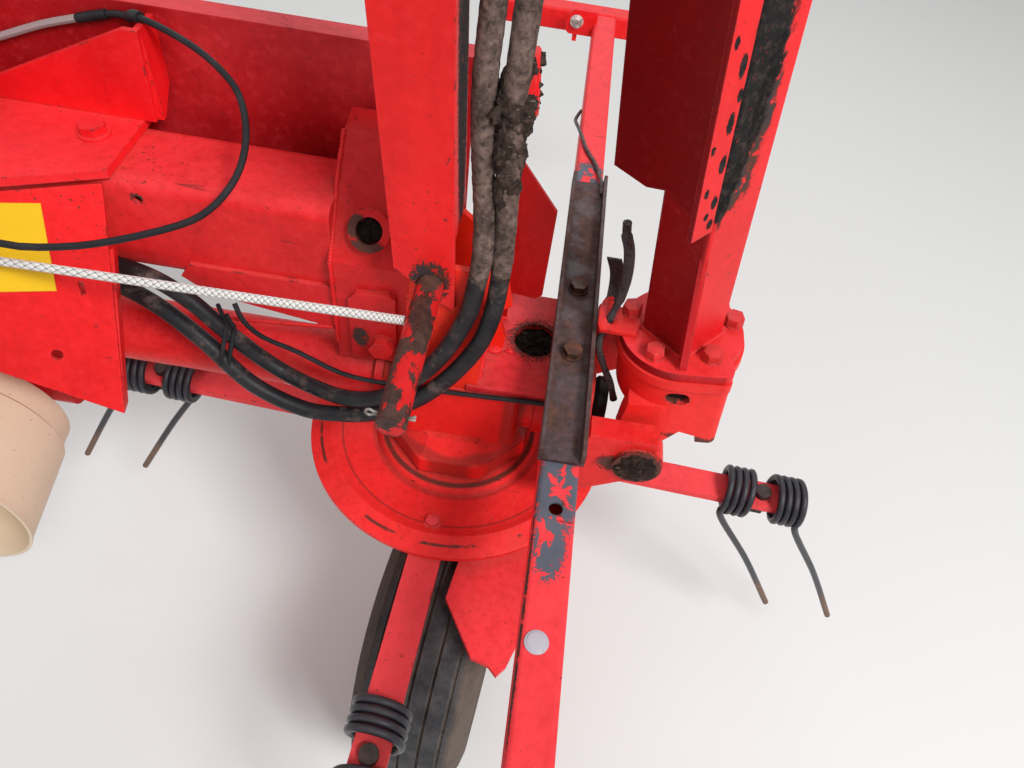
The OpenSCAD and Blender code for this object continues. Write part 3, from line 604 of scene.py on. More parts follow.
def tube(name, points, radius, sides, radii=None, closed=False):
    """A round bar along points, as a mesh with its length and girth in its UV map; sizes in metres.

    Radii are factors of the radius, one a point."""
    data = bpy.data.curves.new(name, "CURVE")
    data.dimensions = "3D"
    data.bevel_depth = radius
    data.bevel_resolution = max(1, sides // 4 - 1)
    data.use_fill_caps = True
    spline = data.splines.new("POLY")
    spline.points.add(len(points) - 1)
    spline.use_cyclic_u = closed
    for i, place in enumerate(points):
        spline.points[i].co = (*place, 1.0)
        spline.points[i].radius = radii[i] if radii else 1.0
    holder = bpy.data.objects.new(name, data)
    bpy.context.scene.collection.objects.link(holder)
    deps = bpy.context.evaluated_depsgraph_get()
    mesh = bpy.data.meshes.new_from_object(holder.evaluated_get(deps))
    bpy.data.objects.remove(holder)
    bpy.data.curves.remove(data)
    mesh.shade_smooth()
    mesh.name = name
    return mesh


def smoothed(points, steps):
    """A smooth curve through points, with so many steps between two of them."""
    p = [Vector(a) for a in points]
    out = []
    for i in range(len(p) - 1):
        a, b, c, d = p[max(i - 1, 0)], p[i], p[i + 1], p[min(i + 2, len(p) - 1)]
        for k in range(steps):
            t = k / steps
            out.append(0.5 * (2 * b + (c - a) * t + (2 * a - 5 * b + 4 * c - d) * t * t
                              + (3 * b - a - 3 * c + d) * t * t * t))
    return out + [p[-1]]


def add_bolt(bm, where, across, high, washer, thick):
    """A hexagon head with a chamfered crown on a washer, seated on its own Z = 0; sizes in mm."""
    mm, taper, chamfer = 0.001, 0.96, 0.09
    made = bmesh.ops.create_cone(bm, cap_ends=True, segments=32, radius1=washer / 2 * mm,
                                 radius2=washer / 2 * mm * taper, depth=thick * mm)
    bmesh.ops.translate(bm, verts=made["verts"], vec=(0, 0, thick / 2 * mm))
    parts = list(made["verts"])
    corner = across / math.sqrt(3) * mm
    made = bmesh.ops.create_cone(bm, cap_ends=True, segments=6, radius1=corner, radius2=corner,
                                 depth=high * mm)
    bmesh.ops.translate(bm, verts=made["verts"], vec=(0, 0, (thick + high / 2) * mm))
    top = max(v.co.z for v in made["verts"])
    edges = {e for v in made["verts"] for e in v.link_edges}
    crown = [e for e in edges if all(v.co.z > top - 1e-6 for v in e.verts)]
    cut = bmesh.ops.bevel(bm, geom=crown, offset=across * chamfer * mm, offset_type="OFFSET", segments=2,
                          profile=0.5, affect="EDGES", material=-1)
    parts += [v for v in made["verts"] if v.is_valid] + cut["verts"]
    bmesh.ops.transform(bm, matrix=where, verts=list(set(parts)))


def add_plate(bm, outline, thick, where, bevel=0.9):
    """A flat plate of an outline in mm, thick along its own Z, its edges broken."""
    verts = [bm.verts.new(where @ Vector((x / 1000, y / 1000, 0))) for x, y in outline]
    face = bm.faces.new(verts)
    grown = bmesh.ops.extrude_face_region(bm, geom=[face])
    moved = [g for g in grown["geom"] if isinstance(g, bmesh.types.BMVert)]
    bmesh.ops.translate(bm, verts=moved, vec=where.to_3x3() @ Vector((0, 0, thick / 1000)))
    edges = list({e for v in verts + moved for e in v.link_edges})
    bmesh.ops.bevel(bm, geom=edges, offset=bevel / 1000, offset_type="OFFSET", segments=2, profile=0.5,
                    affect="EDGES", material=-1)


def add_ribbon(bm, points, across, width, thick):
    """A bent strap along points in metres, its width along across; width and thick in mm."""
    side = Vector(across).normalized() * width / 2000
    line = [bm.verts.new(p - side) for p in points]
    edges = [bm.edges.new((a, b)) for a, b in zip(line, line[1:])]
    grown = bmesh.ops.extrude_edge_only(bm, edges=edges)["geom"]
    moved = [g for g in grown if isinstance(g, bmesh.types.BMVert)]
    bmesh.ops.translate(bm, verts=moved, vec=side * 2)
    faces = [g for g in grown if isinstance(g, bmesh.types.BMFace)]
    bmesh.ops.solidify(bm, geom=faces + edges + line, thickness=thick / 1000)


def add_tube(bm, path, radius, sides, radii=None, closed=False):
    """A round bar along places in metres, joined to a mesh in the making."""
    part = tube("part", path, radius, sides, radii, closed)
    bm.from_mesh(part)
    bpy.data.meshes.remove(part)


def add_bead(bm, places, radius):
    """A rippled bead of weld along places in metres, its radius in mm."""
    step = 0.0012
    path = []
    for a, b in zip(places, places[1:]):
        count = max(2, int((b - a).length / step))
        path += [a.lerp(b, k / count) for k in range(count)]
    path.append(places[-1])
    ripple = [0.86 + 0.14 * math.sin(i * 1.9) + 0.10 * math.sin(i * 0.37) for i in range(len(path))]
    add_tube(bm, path, radius / 1000, 8, ripple)


def add_lump(bm, where, half, rough, grain, fineness=5):
    """A rough clod with its half sizes in mm, laid by a matrix; rough is a share of its thickness."""
    made = bmesh.ops.create_icosphere(bm, subdivisions=fineness, radius=1.0)["verts"]
    bmesh.ops.scale(bm, vec=tuple(h / 1000 for h in half), verts=made)
    bmesh.ops.transform(bm, matrix=where, verts=made)
    depth = min(half) / 1000 * rough
    middle = where.to_translation()
    for v in made:
        out = (v.co - middle).normalized()
        swell = noise.fractal(v.co * grain, 0.6, 2.2, 6)
        v.co += out * depth * swell * 1.6


def add_spun(bm, profile, where):
    """A turned part: a profile of (radius, height) in mm spun about its own Z."""
    before = set(bm.verts)
    line = [bm.verts.new((r / 1000, 0, z / 1000)) for r, z in profile]
    edges = [bm.edges.new(pair) for pair in zip(line, line[1:])]
    bmesh.ops.spin(bm, geom=line + edges, cent=(0, 0, 0), axis=(0, 0, 1), angle=2 * math.pi, steps=48,
                   use_merge=True)
    bmesh.ops.transform(bm, matrix=where, verts=[v for v in bm.verts if v not in before])


def smoothing():
    """Modifier tree that welds a CAD node's loose triangles and rounds its shading below an angle."""
    weld_gap, sharp = 0.00001, math.radians(28)
    tree = bpy.data.node_groups.new("Soft shading", "GeometryNodeTree")
    tree.interface.new_socket("Geometry", in_out="INPUT", socket_type="NodeSocketGeometry")
    tree.interface.new_socket("Geometry", in_out="OUTPUT", socket_type="NodeSocketGeometry")
    add, link = tree.nodes.new, tree.links.new
    start, end = add("NodeGroupInput"), add("NodeGroupOutput")
    weld, angle = add("GeometryNodeMergeByDistance"), add("GeometryNodeInputMeshEdgeAngle")
    faces, edges = add("GeometryNodeSetShadeSmooth"), add("GeometryNodeSetShadeSmooth")
    over = add("ShaderNodeMath")
    weld.inputs["Distance"].default_value = weld_gap
    over.operation = "GREATER_THAN"
    over.inputs[1].default_value = sharp
    edges.domain = "EDGE"
    edges.inputs["Shade Smooth"].default_value = False
    link(start.outputs[0], weld.inputs["Geometry"])
    link(weld.outputs["Geometry"], faces.inputs["Geometry"])
    link(faces.outputs["Geometry"], edges.inputs["Geometry"])
    link(angle.outputs["Unsigned Angle"], over.inputs[0])
    link(over.outputs[0], edges.inputs["Selection"])
    link(edges.outputs["Geometry"], end.inputs[0])
    return tree


def dress(nodes, material):
    """Gives CAD nodes, named in one string, their material and smooth shading."""
    for name in nodes.split():
        obj = NODES[name]
        if obj.data.materials:
            for i in range(len(obj.data.materials)):
                obj.data.materials[i] = material
        else:
            obj.data.materials.append(material)
        soft = obj.modifiers.new("Soft shading", "NODES")
        soft.node_group = bpy.data.node_groups.get("Soft shading") or smoothing()
        even = obj.modifiers.new("Even normals", "WEIGHTED_NORMAL")
        even.keep_sharp = True


def paint_nodes(nodes, name, colour=None, **wear):
    """Gives CAD nodes a paint of their own; wear is as in painted."""
    dress(nodes, painted(name + " paint", colour, **wear))


# Paint of the frame


class TEDDER_OT_red_frame(bpy.types.Operator):
    """Red paint of the frame, beam, brackets, mast and gearboxes"""

    bl_idname = "tedder.red_frame"
    bl_label = "Frame paint"

    def execute(self, context):
        paint_nodes("main_beam", "Beam", (0.80, 0.014, 0.016), fade=0.35, dust=0.35, scratched=0.7,
                    stains=[((-343, -22, 778), (7, 9, 7))])
        # The cap's red is lighter than the main red: painted light, as on a sunlit top
        paint_nodes("headstock_cap cap_bolts", "Cap", (0.92, 0.013, 0.018), fade=0.25, dust=0.20)
        paint_nodes("side_sheet", "Sheet", fade=0.10, dust=0.30)
        # The guard's red is much darker than the main red: painted shade over the guard's inside
        paint_nodes("rear_guard", "Guard", (0.50, 0.006, 0.010), fade=0.75, dust=0.10, chips=0.6)
        # The gusset's red is lighter than the main red: painted light
        paint_nodes("rear_gusset", "Gusset", (0.94, 0.010, 0.014), fade=0.15, dust=0.10)
        paint_nodes("centre_gearbox drive_housing", "Drive", dust=0.6, cast=0.5)
        paint_nodes("end_bracket", "Bracket", (0.74, 0.012, 0.014), fade=0.12, dust=0.40,
                    stains=[((-106, -2, 772), (16, 20, 16)),
                            ((-124, -12, 784), (12, 14, 13)),
                            ((-108, -24, 766), (22, 8, 9))],
                    bare=[((-117, -33, 640), (9, 8, 15)),
                          ((-146, -26, 690), (3, 9, 60))])
        paint_nodes("frame_plate", "Plate", (0.66, 0.016, 0.022), fade=0.45, dust=0.55,
                    stains=[((*PLATE_HOLE, PLATE_TOP), (31, 31, 6))])
        paint_nodes("mast", "Mast", (0.84, 0.014, 0.014), fade=0.10, dust=0.15,
                    bare=[((-33, -66, 776), (20, 8, 24)),
                          ((-44, -66, 772), (9, 8, 12))],
                    # The long black streak down the mast's right flange is painted shade, laid with the
                    # grease layer
                    greased=[((-16, -30, 1010), (8, 26, 200), -2)])
        paint_nodes("mast_foot", "Foot", (1.0, 0.026, 0.008), fade=0.05, dust=0.25)
        # The shield's red is much darker than the main red: painted shade
        paint_nodes("shield_plate", "Shield", (0.50, 0.006, 0.006), fade=0.05, dust=0.10, chips=0.5)
        paint_nodes("gearbox_housing", "Gearbox", (0.98, 0.020, 0.016), fade=0.08, dust=0.5, cast=0.25,
                    rings=[(88, 8, 0.5, False)])
        paint_nodes("wheel_bracket rim", "Wheel bracket", (0.86, 0.020, 0.022), fade=0.45, dust=0.35)
        paint_nodes("guard_bar", "Bar", (0.90, 0.020, 0.026), fade=0.55, dust=0.20, scratched=0.8,
                    primed=[((BAR_X, -206, BAR_TOP), (24, 52, 9)),
                            ((BAR_X - 3, -268, BAR_TOP), (15, 34, 7)),
                            ((BAR_X, 308, BAR_TOP), (26, 34, 9))],
                    bare=[((BAR_X - 20, -330, BAR_TOP - 3), (2.6, 120, 3)),
                          ((BAR_X, -226, BAR_TOP - 4), (11, 11, 11))])
        paint_nodes("cross_tube", "Tube", fade=0.35, dust=0.2)
        paint_nodes("hinge_yoke", "Yoke", (0.82, 0.014, 0.012), fade=0.10, dust=0.75, cast=0.6,
                    stains=[((HINGE_X, -110, HINGE_Z), (33, 8, 31)),
                            ((HINGE_X - 26, -108, HINGE_Z - 6), (22, 8, 16))])
        return {"FINISHED"}


# Paint of the rotor and the wing

# Grease on the wing beam's lower front face: along, y and up on the wing, then half its width and length
BEAM_GREASE = ((560, -27, -53, 31, 110), (450, -32, -48, 23, 90), (375, -36, -44, 16, 60),
               (330, -40, -40, 10, 40))
# Worn patches on the same face, in the same columns
BEAM_WORN = ((330, -30, -50, 17, 30), (400, -22, -58, 14, 60))
# Drips on the lug plate: along and y on the wing, then half their width and length
PLATE_DRIPS = ((301, -49, 4, 5), (312, -54, 3, 4), (324, -49, 4, 7), (338, -58, 3, 5), (362, -49, 4, 9),
               (381, -60, 3, 4), (399, -50, 4, 10), (422, -47, 3, 6), (447, -50, 4, 10), (468, -59, 3, 5))


def wing_mark(along, y, up, half, turn=0.0):
    """A mark on the wing, as painted takes it."""
    at = wing(along, y, up) * 1000
    return (at.x - GROUND[0], at.y - GROUND[1], at.z - GROUND[2]), half, turn


def long_mark(along, y, up, width, length):
    """A mark that runs along the wing; half sizes in mm."""
    return wing_mark(along, y, up, (width, width, length), -LEAN)


def worn_dots(count=14, step=13):
    """Small bare dots in a wavy line along the lug plate."""
    for k in range(count):
        wave = 11 * math.sin(k * 2.4)
        yield long_mark(300 + step * k, -20 - wave, 42 - wave, 3.5, 3 + k % 4)


class TEDDER_OT_red_moving(bpy.types.Operator):
    """Red paint of the rotor and of the wing"""

    bl_idname = "tedder.red_moving"
    bl_label = "Rotor and wing paint"

    def execute(self, context):
        inner = wing_way(0, -1, 1).normalized()
        # The disc's red is lighter than the main red: painted light, against the shadow that falls on it
        paint_nodes("rotor_disc", "Disc", (0.94, 0.022, 0.020), fade=0.12, dust=0.40, scratched=0.9,
                    # The ring at 99 mm is dark oil and painted shade in the gap at the hat's foot; the others
                    # are dirt
                    rings=[(99, 6, 0.9, False), (111, 7, 0.35, False), (154, 3.5, 0.5, False),
                           (181, 4, 0.95, True)])
        paint_nodes("rotor_arms", "Arm", (0.98, 0.052, 0.058), fade=0.60, dust=0.25, scratched=1.6)
        # The casting's red is lighter than the main red: painted light
        paint_nodes("wing_casting", "Casting", (1.0, 0.026, 0.020), fade=0.12, dust=0.20, cast=1.1,
                    chips=0.6,
                    greased=[wing_mark(76, -66, -36, (12.5, 7, 8.5))],
                    stains=[wing_mark(76, -45, -WING_DROP, (26, 19.5, 20)),
                            wing_mark(6, -50, -60, (40, 24, 7))])
        paint_nodes("wing_beam", "Wing beam", (0.86, 0.014, 0.017), fade=0.30, dust=0.22, scratched=0.6,
                    # The faces that look inwards get a deep red: painted shade
                    shaded=(inner, (0.34, 0.004, 0.006)),
                    greased=[long_mark(*place) for place in BEAM_GREASE],
                    bare=[long_mark(*place) for place in BEAM_WORN])
        paint_nodes("wing_plate", "Lug plate", (0.84, 0.016, 0.018), fade=0.15, dust=0.10, scratched=0.2,
                    # The faces that look inwards get a near-black red: painted shade; the lip stays bright
                    shaded=(inner, (0.27, 0.003, 0.005)),
                    greased=[long_mark(along, y, -y - 80, width, length)
                             for along, y, width, length in PLATE_DRIPS],
                    bare=worn_dots())
        return {"FINISHED"}


class TEDDER_OT_other_finishes(bpy.types.Operator):
    """Steel, rubber, plastic and tyre finishes"""

    bl_idname = "tedder.other_finishes"
    bl_label = "Bare steel, rubber and plastic"

    def execute(self, context):
        dress("rusty_channel", bare_steel("Rusty channel", (0.062, 0.040, 0.050), rust=0.60, shine=0.08))
        dress("channel_bolts hinge_pin", bare_steel("Rusty bolt", (0.055, 0.024, 0.018), rust=0.7, shine=0.1))
        dress("tine_bolts", bare_steel("Clamp", (0.035, 0.028, 0.028), rust=0.3, shine=0.3))
        dress("front_peg", bare_steel("Worn peg", (0.055, 0.024, 0.020), rust=0.5, shine=0.2, paint=0.60))
        dress("hose_fittings", bare_steel("Plated steel", (0.50, 0.48, 0.44), rust=0.25, shine=0.85))
        dress("input_shaft wheel_leg", bare_steel("Machined steel", (0.42, 0.40, 0.38), rust=0.3, shine=0.9))
        dress("tyre", tyre_rubber("Tyre"))
        dress("joint_boot", rubber("Boot", (0.012, 0.011, 0.012), mud=0.3))
        dress("input_guard", moulded("Beige guard", (0.84, 0.66, 0.48), stained=0.08))
        dress("sign_plate", moulded("Yellow plate", (0.92, 0.55, 0.01), stained=0.04, gloss=0.35))
        return {"FINISHED"}


# Spring tines, hoses and rope


class TedderHardware(bpy.types.PropertyGroup):
    """Sizes of the springs, hoses and welds."""

    wire: bpy.props.FloatProperty(
        name="Tine wire", description="Diameter of the spring wire", unit="LENGTH", min=0.006, max=0.012,
        default=0.0095)
    coil: bpy.props.FloatProperty(
        name="Coil", description="Outer diameter of a tine's coil", unit="LENGTH", min=0.05, max=0.08,
        default=0.068)
    hose: bpy.props.FloatProperty(
        name="Hose", description="Diameter of a pressure hose", unit="LENGTH", min=0.014, max=0.022,
        default=0.019)
    bead: bpy.props.FloatProperty(
        name="Weld bead", description="Radius of a bead of weld", unit="LENGTH", min=0.001, max=0.006,
        default=0.003)


def hardware():
    return bpy.context.scene.tedder_hardware


def tine_half(side, radius, pitch, count=120):
    """Points in mm of one coil and its leg, for an arm along X; side is -1 or 1."""
    points = []
    for k in range(count + 1):
        a = math.radians(180 + COIL_TURNS * 360 * k / count)
        along = COIL_AT + side * (COIL_BRIDGE + pitch * COIL_TURNS * k / count)
        points.append((along, -radius * math.sin(a), COIL_Z + radius * math.cos(a)))
    foot = COIL_AT + side * (COIL_BRIDGE + pitch * COIL_TURNS)
    steps = 6
    leg = smoothed([points[-2], points[-1], (foot + 6, -radius, COIL_Z - 28),
                    (foot + 80, -radius * 0.55, 290), (foot + TIP_OUT, TIP_SIDE, TIP_Z)], steps)
    return points[:-1] + [tuple(p) for p in leg[steps:]]


class TEDDER_OT_tines(bpy.types.Operator):
    """Round spring tines in place of the faceted CAD ones"""

    bl_idname = "tedder.tines"
    bl_label = "Spring tines"

    def execute(self, context):
        size = hardware()
        radius, pitch = (size.coil - size.wire) * 500, size.wire * 1000 + 0.3
        left, right = (tine_half(side, radius, pitch) for side in (-1, 1))
        path = list(reversed(left)) + right
        bm = bmesh.new()
        for angle in ARM_ANGLES:
            turn = Matrix.Rotation(math.radians(angle), 3, "Z")
            add_tube(bm, in_frame(turn @ Vector(p) for p in path), size.wire / 2, 12)
        close_piece(bm, "tines_round", spring_steel("Spring wire"), "rotor", smooth=60,
                    stands_for="spring_tines")
        return {"FINISHED"}


# The cords' routes in mm, point by point as in the part's source
OUTER_ROUTE = [(30, -44, 1180), (30, -46, 1060), (28, -50, 965), (32, -50, 860), (34, -60, 800),
               (31, -73, 750), (19, -80, 705), (-10, -85, 652), (-46, -87, 607), (-92, -84, 569),
               (-136, -82, 553), (-180, -84, 556), (-236, -80, 583), (-288, -66, 630), (-338, -50, 656),
               (-385, -34, 662), (-430, -20, 660)]
INNER_ROUTE = [(6, -44, 1180), (5, -46, 1060), (3, -50, 980), (6, -50, 920), (12, -51, 860),
               (15, -61, 815), (12, -71.5, 782), (7, -74, 748), (-8, -80, 706), (-32, -82, 661),
               (-76, -81, 603), (-124, -74, 576), (-176, -60, 571), (-222, -55, 594), (-262, -55, 636),
               (-298, -50, 672), (-338, -40, 688), (-385, -30, 690), (-425, -30, 690)]
ROPE_ROUTE = [(-46.8, -118, 771), (-160, -115, 765), (-300, -110, 757), (-491, -104, 746)]
# Stretches of the thin cable that are sleeved: points, then the sleeve's radius in metres
BLACK_SLEEVES = ((((-392, 104, 901), (-408, 104.5, 896.5), (-424, 104, 892)), 0.00493),
                 (((-350, 89.5, 911), (-358, 94, 909.5), (-366, 99, 905)), 0.00578))
GREY_SLEEVE = [(-426, 104, 891.5), (-465, 104, 879), (-514, 104, 859), (-538, 104, 849)]


def crusted(path):
    """Swelling of a hose along its path where dried mud clings to it, as factors of its radius."""
    low, high = rotor(0, 0, MUD_START).z, rotor(0, 0, MUD_FULL).z
    out = []
    for i, p in enumerate(path):
        over = min(1.0, max(0.0, (p.z - low) / (high - low)))
        out.append(1.0 + over * (0.07 + 0.10 * abs(noise.noise(p * 70.0)) + 0.02 * math.sin(i * 2.3)))
    return out


def cable_ties(material):
    """Two ties with their tails round both hoses, and two sleeves on the thin cable."""
    reach, band, tail = 11.2, 0.0026, 0.0024
    half_turn = [math.pi * k / 10 for k in range(11)]
    bm = bmesh.new()
    # Columns: x in mm, and how far up the hoses the tie sits
    for x, lift in ((-258, 2), (-265, 9)):
        upper, lower = Vector((x, -55, 630 + lift)), Vector((x - 4, -70, 603 + lift))
        out = (upper - lower).normalized()
        side = out.cross(Vector((-0.7, 0.05, 0.7))).normalized()
        arc = [reach * (math.sin(a) * out + math.cos(a) * side) for a in half_turn]
        loop = [upper + step for step in arc] + [lower - step for step in arc]
        add_tube(bm, in_frame(loop), band, 8, closed=True)
        end = (upper + out * 11, upper + out * 15 + Vector((-3, -2, 4)),
               upper + out * 16 + Vector((-6, -2, 12 + lift)))
        add_tube(bm, in_frame(end), tail, 8)
    for route, radius in BLACK_SLEEVES:
        add_tube(bm, in_frame(smoothed(route, 4)), radius, 16)
    close_piece(bm, "cable_ties", material, "frame")


def cable_sleeve():
    """Grey sleeve on the thin cable's end."""
    bm = bmesh.new()
    add_tube(bm, in_frame(smoothed(GREY_SLEEVE, 6)), 0.0041, 12)
    close_piece(bm, "cable_sleeve", moulded("Grey sleeve", (0.42, 0.33, 0.33), stained=0.4, gloss=0.6),
                "frame")


class TEDDER_OT_hoses(bpy.types.Operator):
    """Round hoses and rope over the CAD ones' routes, rubber on the CAD cables, with their ties and sleeves
    """

    bl_idname = "tedder.hoses"
    bl_label = "Hoses, cables and rope"

    def execute(self, context):
        skin = rubber("Hose", mud_above=795, gloss=0.38)
        for name, node, route in (("hose_left", "hose_inner", INNER_ROUTE),
                                  ("hose_right", "hose_outer", OUTER_ROUTE)):
            path = in_frame(smoothed(route, 16))
            mesh = tube(name, path, hardware().hose / 2, 24, crusted(path))
            add_piece(name, mesh, skin, "frame", stands_for=node)
        rope = tube("rope_braided", in_frame(smoothed(ROPE_ROUTE, 24)), 0.0045, 16)
        add_piece("rope_braided", rope, braided("Rope"), "frame", stands_for="pull_rope")
        cable = rubber("Cable", mud=0.12)
        dress("thin_cable front_cable", cable)
        cable_ties(cable)
        cable_sleeve()
        return {"FINISHED"}


# Caked earth

# Clods on the hoses: middle and half sizes in mm, then roughness
HOSE_CLODS = (((25, -47, 962), (18, 15, 28), 0.35), ((18, -46, 940), (12, 12, 24), 0.5),
              ((34, -42, 978), (9, 9, 28), 0.5), ((27, -49, 925), (15, 13, 30), 0.35),
              ((28, -50, 896), (12.5, 12, 34), 0.25), ((14, -40, 966), (7, 8, 18), 0.5))


def earth(name, lumps, grain, material, body="frame", fineness=5):
    """A piece of clods; each lump is its matrix, its half sizes in mm and its roughness."""
    bm = bmesh.new()
    for where, half, rough in lumps:
        add_lump(bm, where, half, rough, grain, fineness)
    close_piece(bm, name, material, body, smooth=80)


class TEDDER_OT_mud(bpy.types.Operator):
    """Clods on the hoses, earth in the plate's hole, the bores and on the hinge boss"""

    bl_idname = "tedder.mud"
    bl_label = "Caked earth"

    def execute(self, context):
        at = Matrix.Translation
        earth("hose_clods", [(at(rotor(*middle)), half, rough) for middle, half, rough in HOSE_CLODS],
              55.0, caked("Hose mud", (0.020, 0.014, 0.012), (0.17, 0.115, 0.09)))
        earth("hole_earth", [(at(rotor(*PLATE_HOLE, PLATE_TOP - 9.5)), (25.4, 25.4, 6), 0.9)],
              110.0, caked("Black earth", (0.004, 0.004, 0.003), (0.030, 0.024, 0.016)))
        earth("bore_earth", [(facing(rotor(-106, -7, 776), (0, -0.819, 0.574)), (13.7, 13.7, 4), 0.5)],
              90.0, caked("Bore grease", (0.008, 0.006, 0.005), (0.050, 0.036, 0.028)))
        earth("drum_hole_earth", [(at(wing(76, -56, -WING_DROP)), (12.3, 3, 8.5), 0.4)],
              120.0, caked("Drum grease", (0.006, 0.005, 0.005), (0.040, 0.028, 0.022)), "wing", fineness=4)
        earth("boss_earth", [(at(rotor(HINGE_X, -109.5, HINGE_Z)), (24, 4.5, 24), 0.8)],
              110.0, caked("Boss earth", (0.014, 0.009, 0.008), (0.085, 0.055, 0.042)))
        return {"FINISHED"}


# Bolts


def flange_bolts():
    """The wing flange's bolts."""
    bm = bmesh.new()
    # Columns: along, y and up on the wing in mm, turn of the head in degrees
    for along, y, up, spin in ((124, 15.2, 20, 10), (118, -42.6, -5.8, 24), (118, -40.5, -66.2, 3),
                               (118, 15, -92, 40)):
        where = facing(wing(along, y, up), wing_way(1, 0, 0), spin)
        add_bolt(bm, where, across=19, high=11, washer=22, thick=1.5)
    close_piece(bm, "flange_bolts", painted("Bolt paint", (0.74, 0.030, 0.030), dust=0.6, chips=0.9),
                "wing")


def disc_bolts():
    """One bolt in line with each arm."""
    ring, disc_top = 151, 454
    bm = bmesh.new()
    for k, angle in enumerate(ARM_ANGLES):
        a = math.radians(angle)
        where = facing(rotor(ring * math.cos(a), ring * math.sin(a), disc_top), (0, 0, 1), 17 * k)
        add_bolt(bm, where, across=15, high=7, washer=21, thick=2)
    close_piece(bm, "disc_bolts", painted("Disc bolt paint", (0.80, 0.05, 0.05), fade=0.5), "rotor")


def lug_bolt():
    """Bright bolt in the cross tube's lug."""
    bm = bmesh.new()
    add_bolt(bm, facing(rotor(72, 762, BAR_TOP), (0, -1, 0), 8), across=17, high=7, washer=24, thick=2)
    close_piece(bm, "lug_bolt", bare_steel("Bright bolt", (0.62, 0.60, 0.58), rust=0.05, shine=0.8), "frame")


class TEDDER_OT_bolts(bpy.types.Operator):
    """Bolts of the wing flange, of the disc and of the lug"""

    bl_idname = "tedder.bolts"
    bl_label = "Bolts"

    def execute(self, context):
        flange_bolts()
        disc_bolts()
        lug_bolt()
        return {"FINISHED"}


# Small parts

# Notched outline of the strap's holder in mm: y and up on the wing
HOLDER_OUTLINE = [(-20, 15), (-1, 10), (27, 11), (33, 24), (28, 29), (13, 34), (-1, 38.5), (-6, 42),
                  (-4, 46.5), (2, 47), (17, 44), (33, 39.5), (39, 42), (37, 50), (28, 54), (14, 56.5),
                  (-6, 57), (-15, 55)]
STRAP_ROUTE = [(149, 14, 822), (152, 14, 806), (158, 13, 790), (162, 12, 770), (164, 12, 745),
               (162, 9, 716), (158, 4, 700), (155.5, 0, 688), (151, -6, 672), (153, -10, 658),
               (161, -14, 640), (176, -20, 612), (184, -25, 592)]
STRAP_TAB = [(160, 33, 697), (161, 42, 699), (161, 50, 708), (158, 54, 722), (152, 56, 736)]
ROD_ROUTE = [(101, 526, 630), (95, 500, 633), (94, 482, 637), (97, 450, 650), (105, 405, 661.5),
             (114, 370, 663.6), (129, 336, 664), (136, 308, 665), (139, 288, 668.6), (140, 262, 668.9)]
# Middle of the disc beside the hoses
HOSE_DISC = (40, -26, 975)


def strap_holder():
    """Notched plate on the wing's flange that holds the strap."""
    axes = (Vector((0, 1, 0)), wing_way(0, 0, 1).normalized(), wing_way(1, 0, 0).normalized())
    turn = Matrix(axes).transposed().to_4x4()
    bm = bmesh.new()
    add_plate(bm, HOLDER_OUTLINE, 6, Matrix.Translation(wing(118, 0, 0)) @ turn)
    close_piece(bm, "strap_holder", painted("Holder paint", (0.84, 0.022, 0.018), fade=0.1, dust=0.35),
                "wing")


def rubber_strap():
    """Rubber strap with a thick upper end and a flat tab."""
    path = smoothed(STRAP_ROUTE, 6)
    thick = [1.5 if i < 6 else 1.9 if i < 30 else 1.35 + 0.12 * math.sin(i * 0.9) for i in range(len(path))]
    bm = bmesh.new()
    add_tube(bm, in_frame(path), 0.0031, 12, thick)
    add_ribbon(bm, in_frame(smoothed(STRAP_TAB, 5)), (1, 0, 0), width=17, thick=4)
    close_piece(bm, "rubber_strap", rubber("Strap rubber", (0.060, 0.054, 0.056), mud=0.5, gloss=0.5),
                "wing")


def reflector():
    """Round reflector on the guard bar."""
    profile = [(0, 2.4), (6.5, 2.3), (8.5, 2.0), (9, 1.4), (10.2, 1.4), (10.8, 0.9), (10.8, 0)]
    bm = bmesh.new()
    add_spun(bm, profile, Matrix.Translation(rotor(117, -358, 660.2)))
    close_piece(bm, "reflector", moulded("Reflector", (0.52, 0.48, 0.54), stained=0.25, gloss=0.3), "frame",
                smooth=25)


def lug_and_disc():
    """Lug of the cross tube, and the flanged disc beside the hoses."""
    lug = [(55, 641), (60, 636), (108, 636), (108, 680), (66, 680), (56, 670), (52, 656)]
    profile = [(0, -3), (16, -3), (17, -5), (25, -5), (27, -3), (27, 3), (25, 5), (17, 5), (16, 3), (0, 3)]
    bm = bmesh.new()
    add_plate(bm, lug, 6, Matrix.Translation(rotor(0, 768, 0)) @ Matrix.Rotation(math.radians(90), 4, "X"))
    add_spun(bm, profile, facing(rotor(*HOSE_DISC), (1, 0.05, 0.1)))
    close_piece(bm, "lug_and_disc", painted("Lug paint", fade=0.1), "frame")


def disc_core():
    """Ring of mud on the disc, and the stalk that joins it to the hoses."""
    x, y, z = HOSE_DISC
    count, ring = 14, 20
    bm = bmesh.new()
    for k in range(count):
        a = 2 * math.pi * k / count
        middle = rotor(x, y + ring * math.cos(a), z + ring * math.sin(a))
        add_lump(bm, Matrix.Translation(middle), (6.5, 4, 4), 0.7, 160.0, 2)
    add_tube(bm, in_frame([(24, -40, 972), (38, -27, 975)]), 0.007, 12)
    close_piece(bm, "disc_core", caked("Core mud"), "frame", smooth=80)


def bent_rod():
    """Thin bent rod that lies along the guard bar."""
    bm = bmesh.new()
    add_tube(bm, in_frame(smoothed(ROD_ROUTE, 6)), 0.0028, 10)
    close_piece(bm, "bent_rod", bare_steel("Rod", (0.10, 0.085, 0.09), rust=0.3, shine=0.5), "frame")


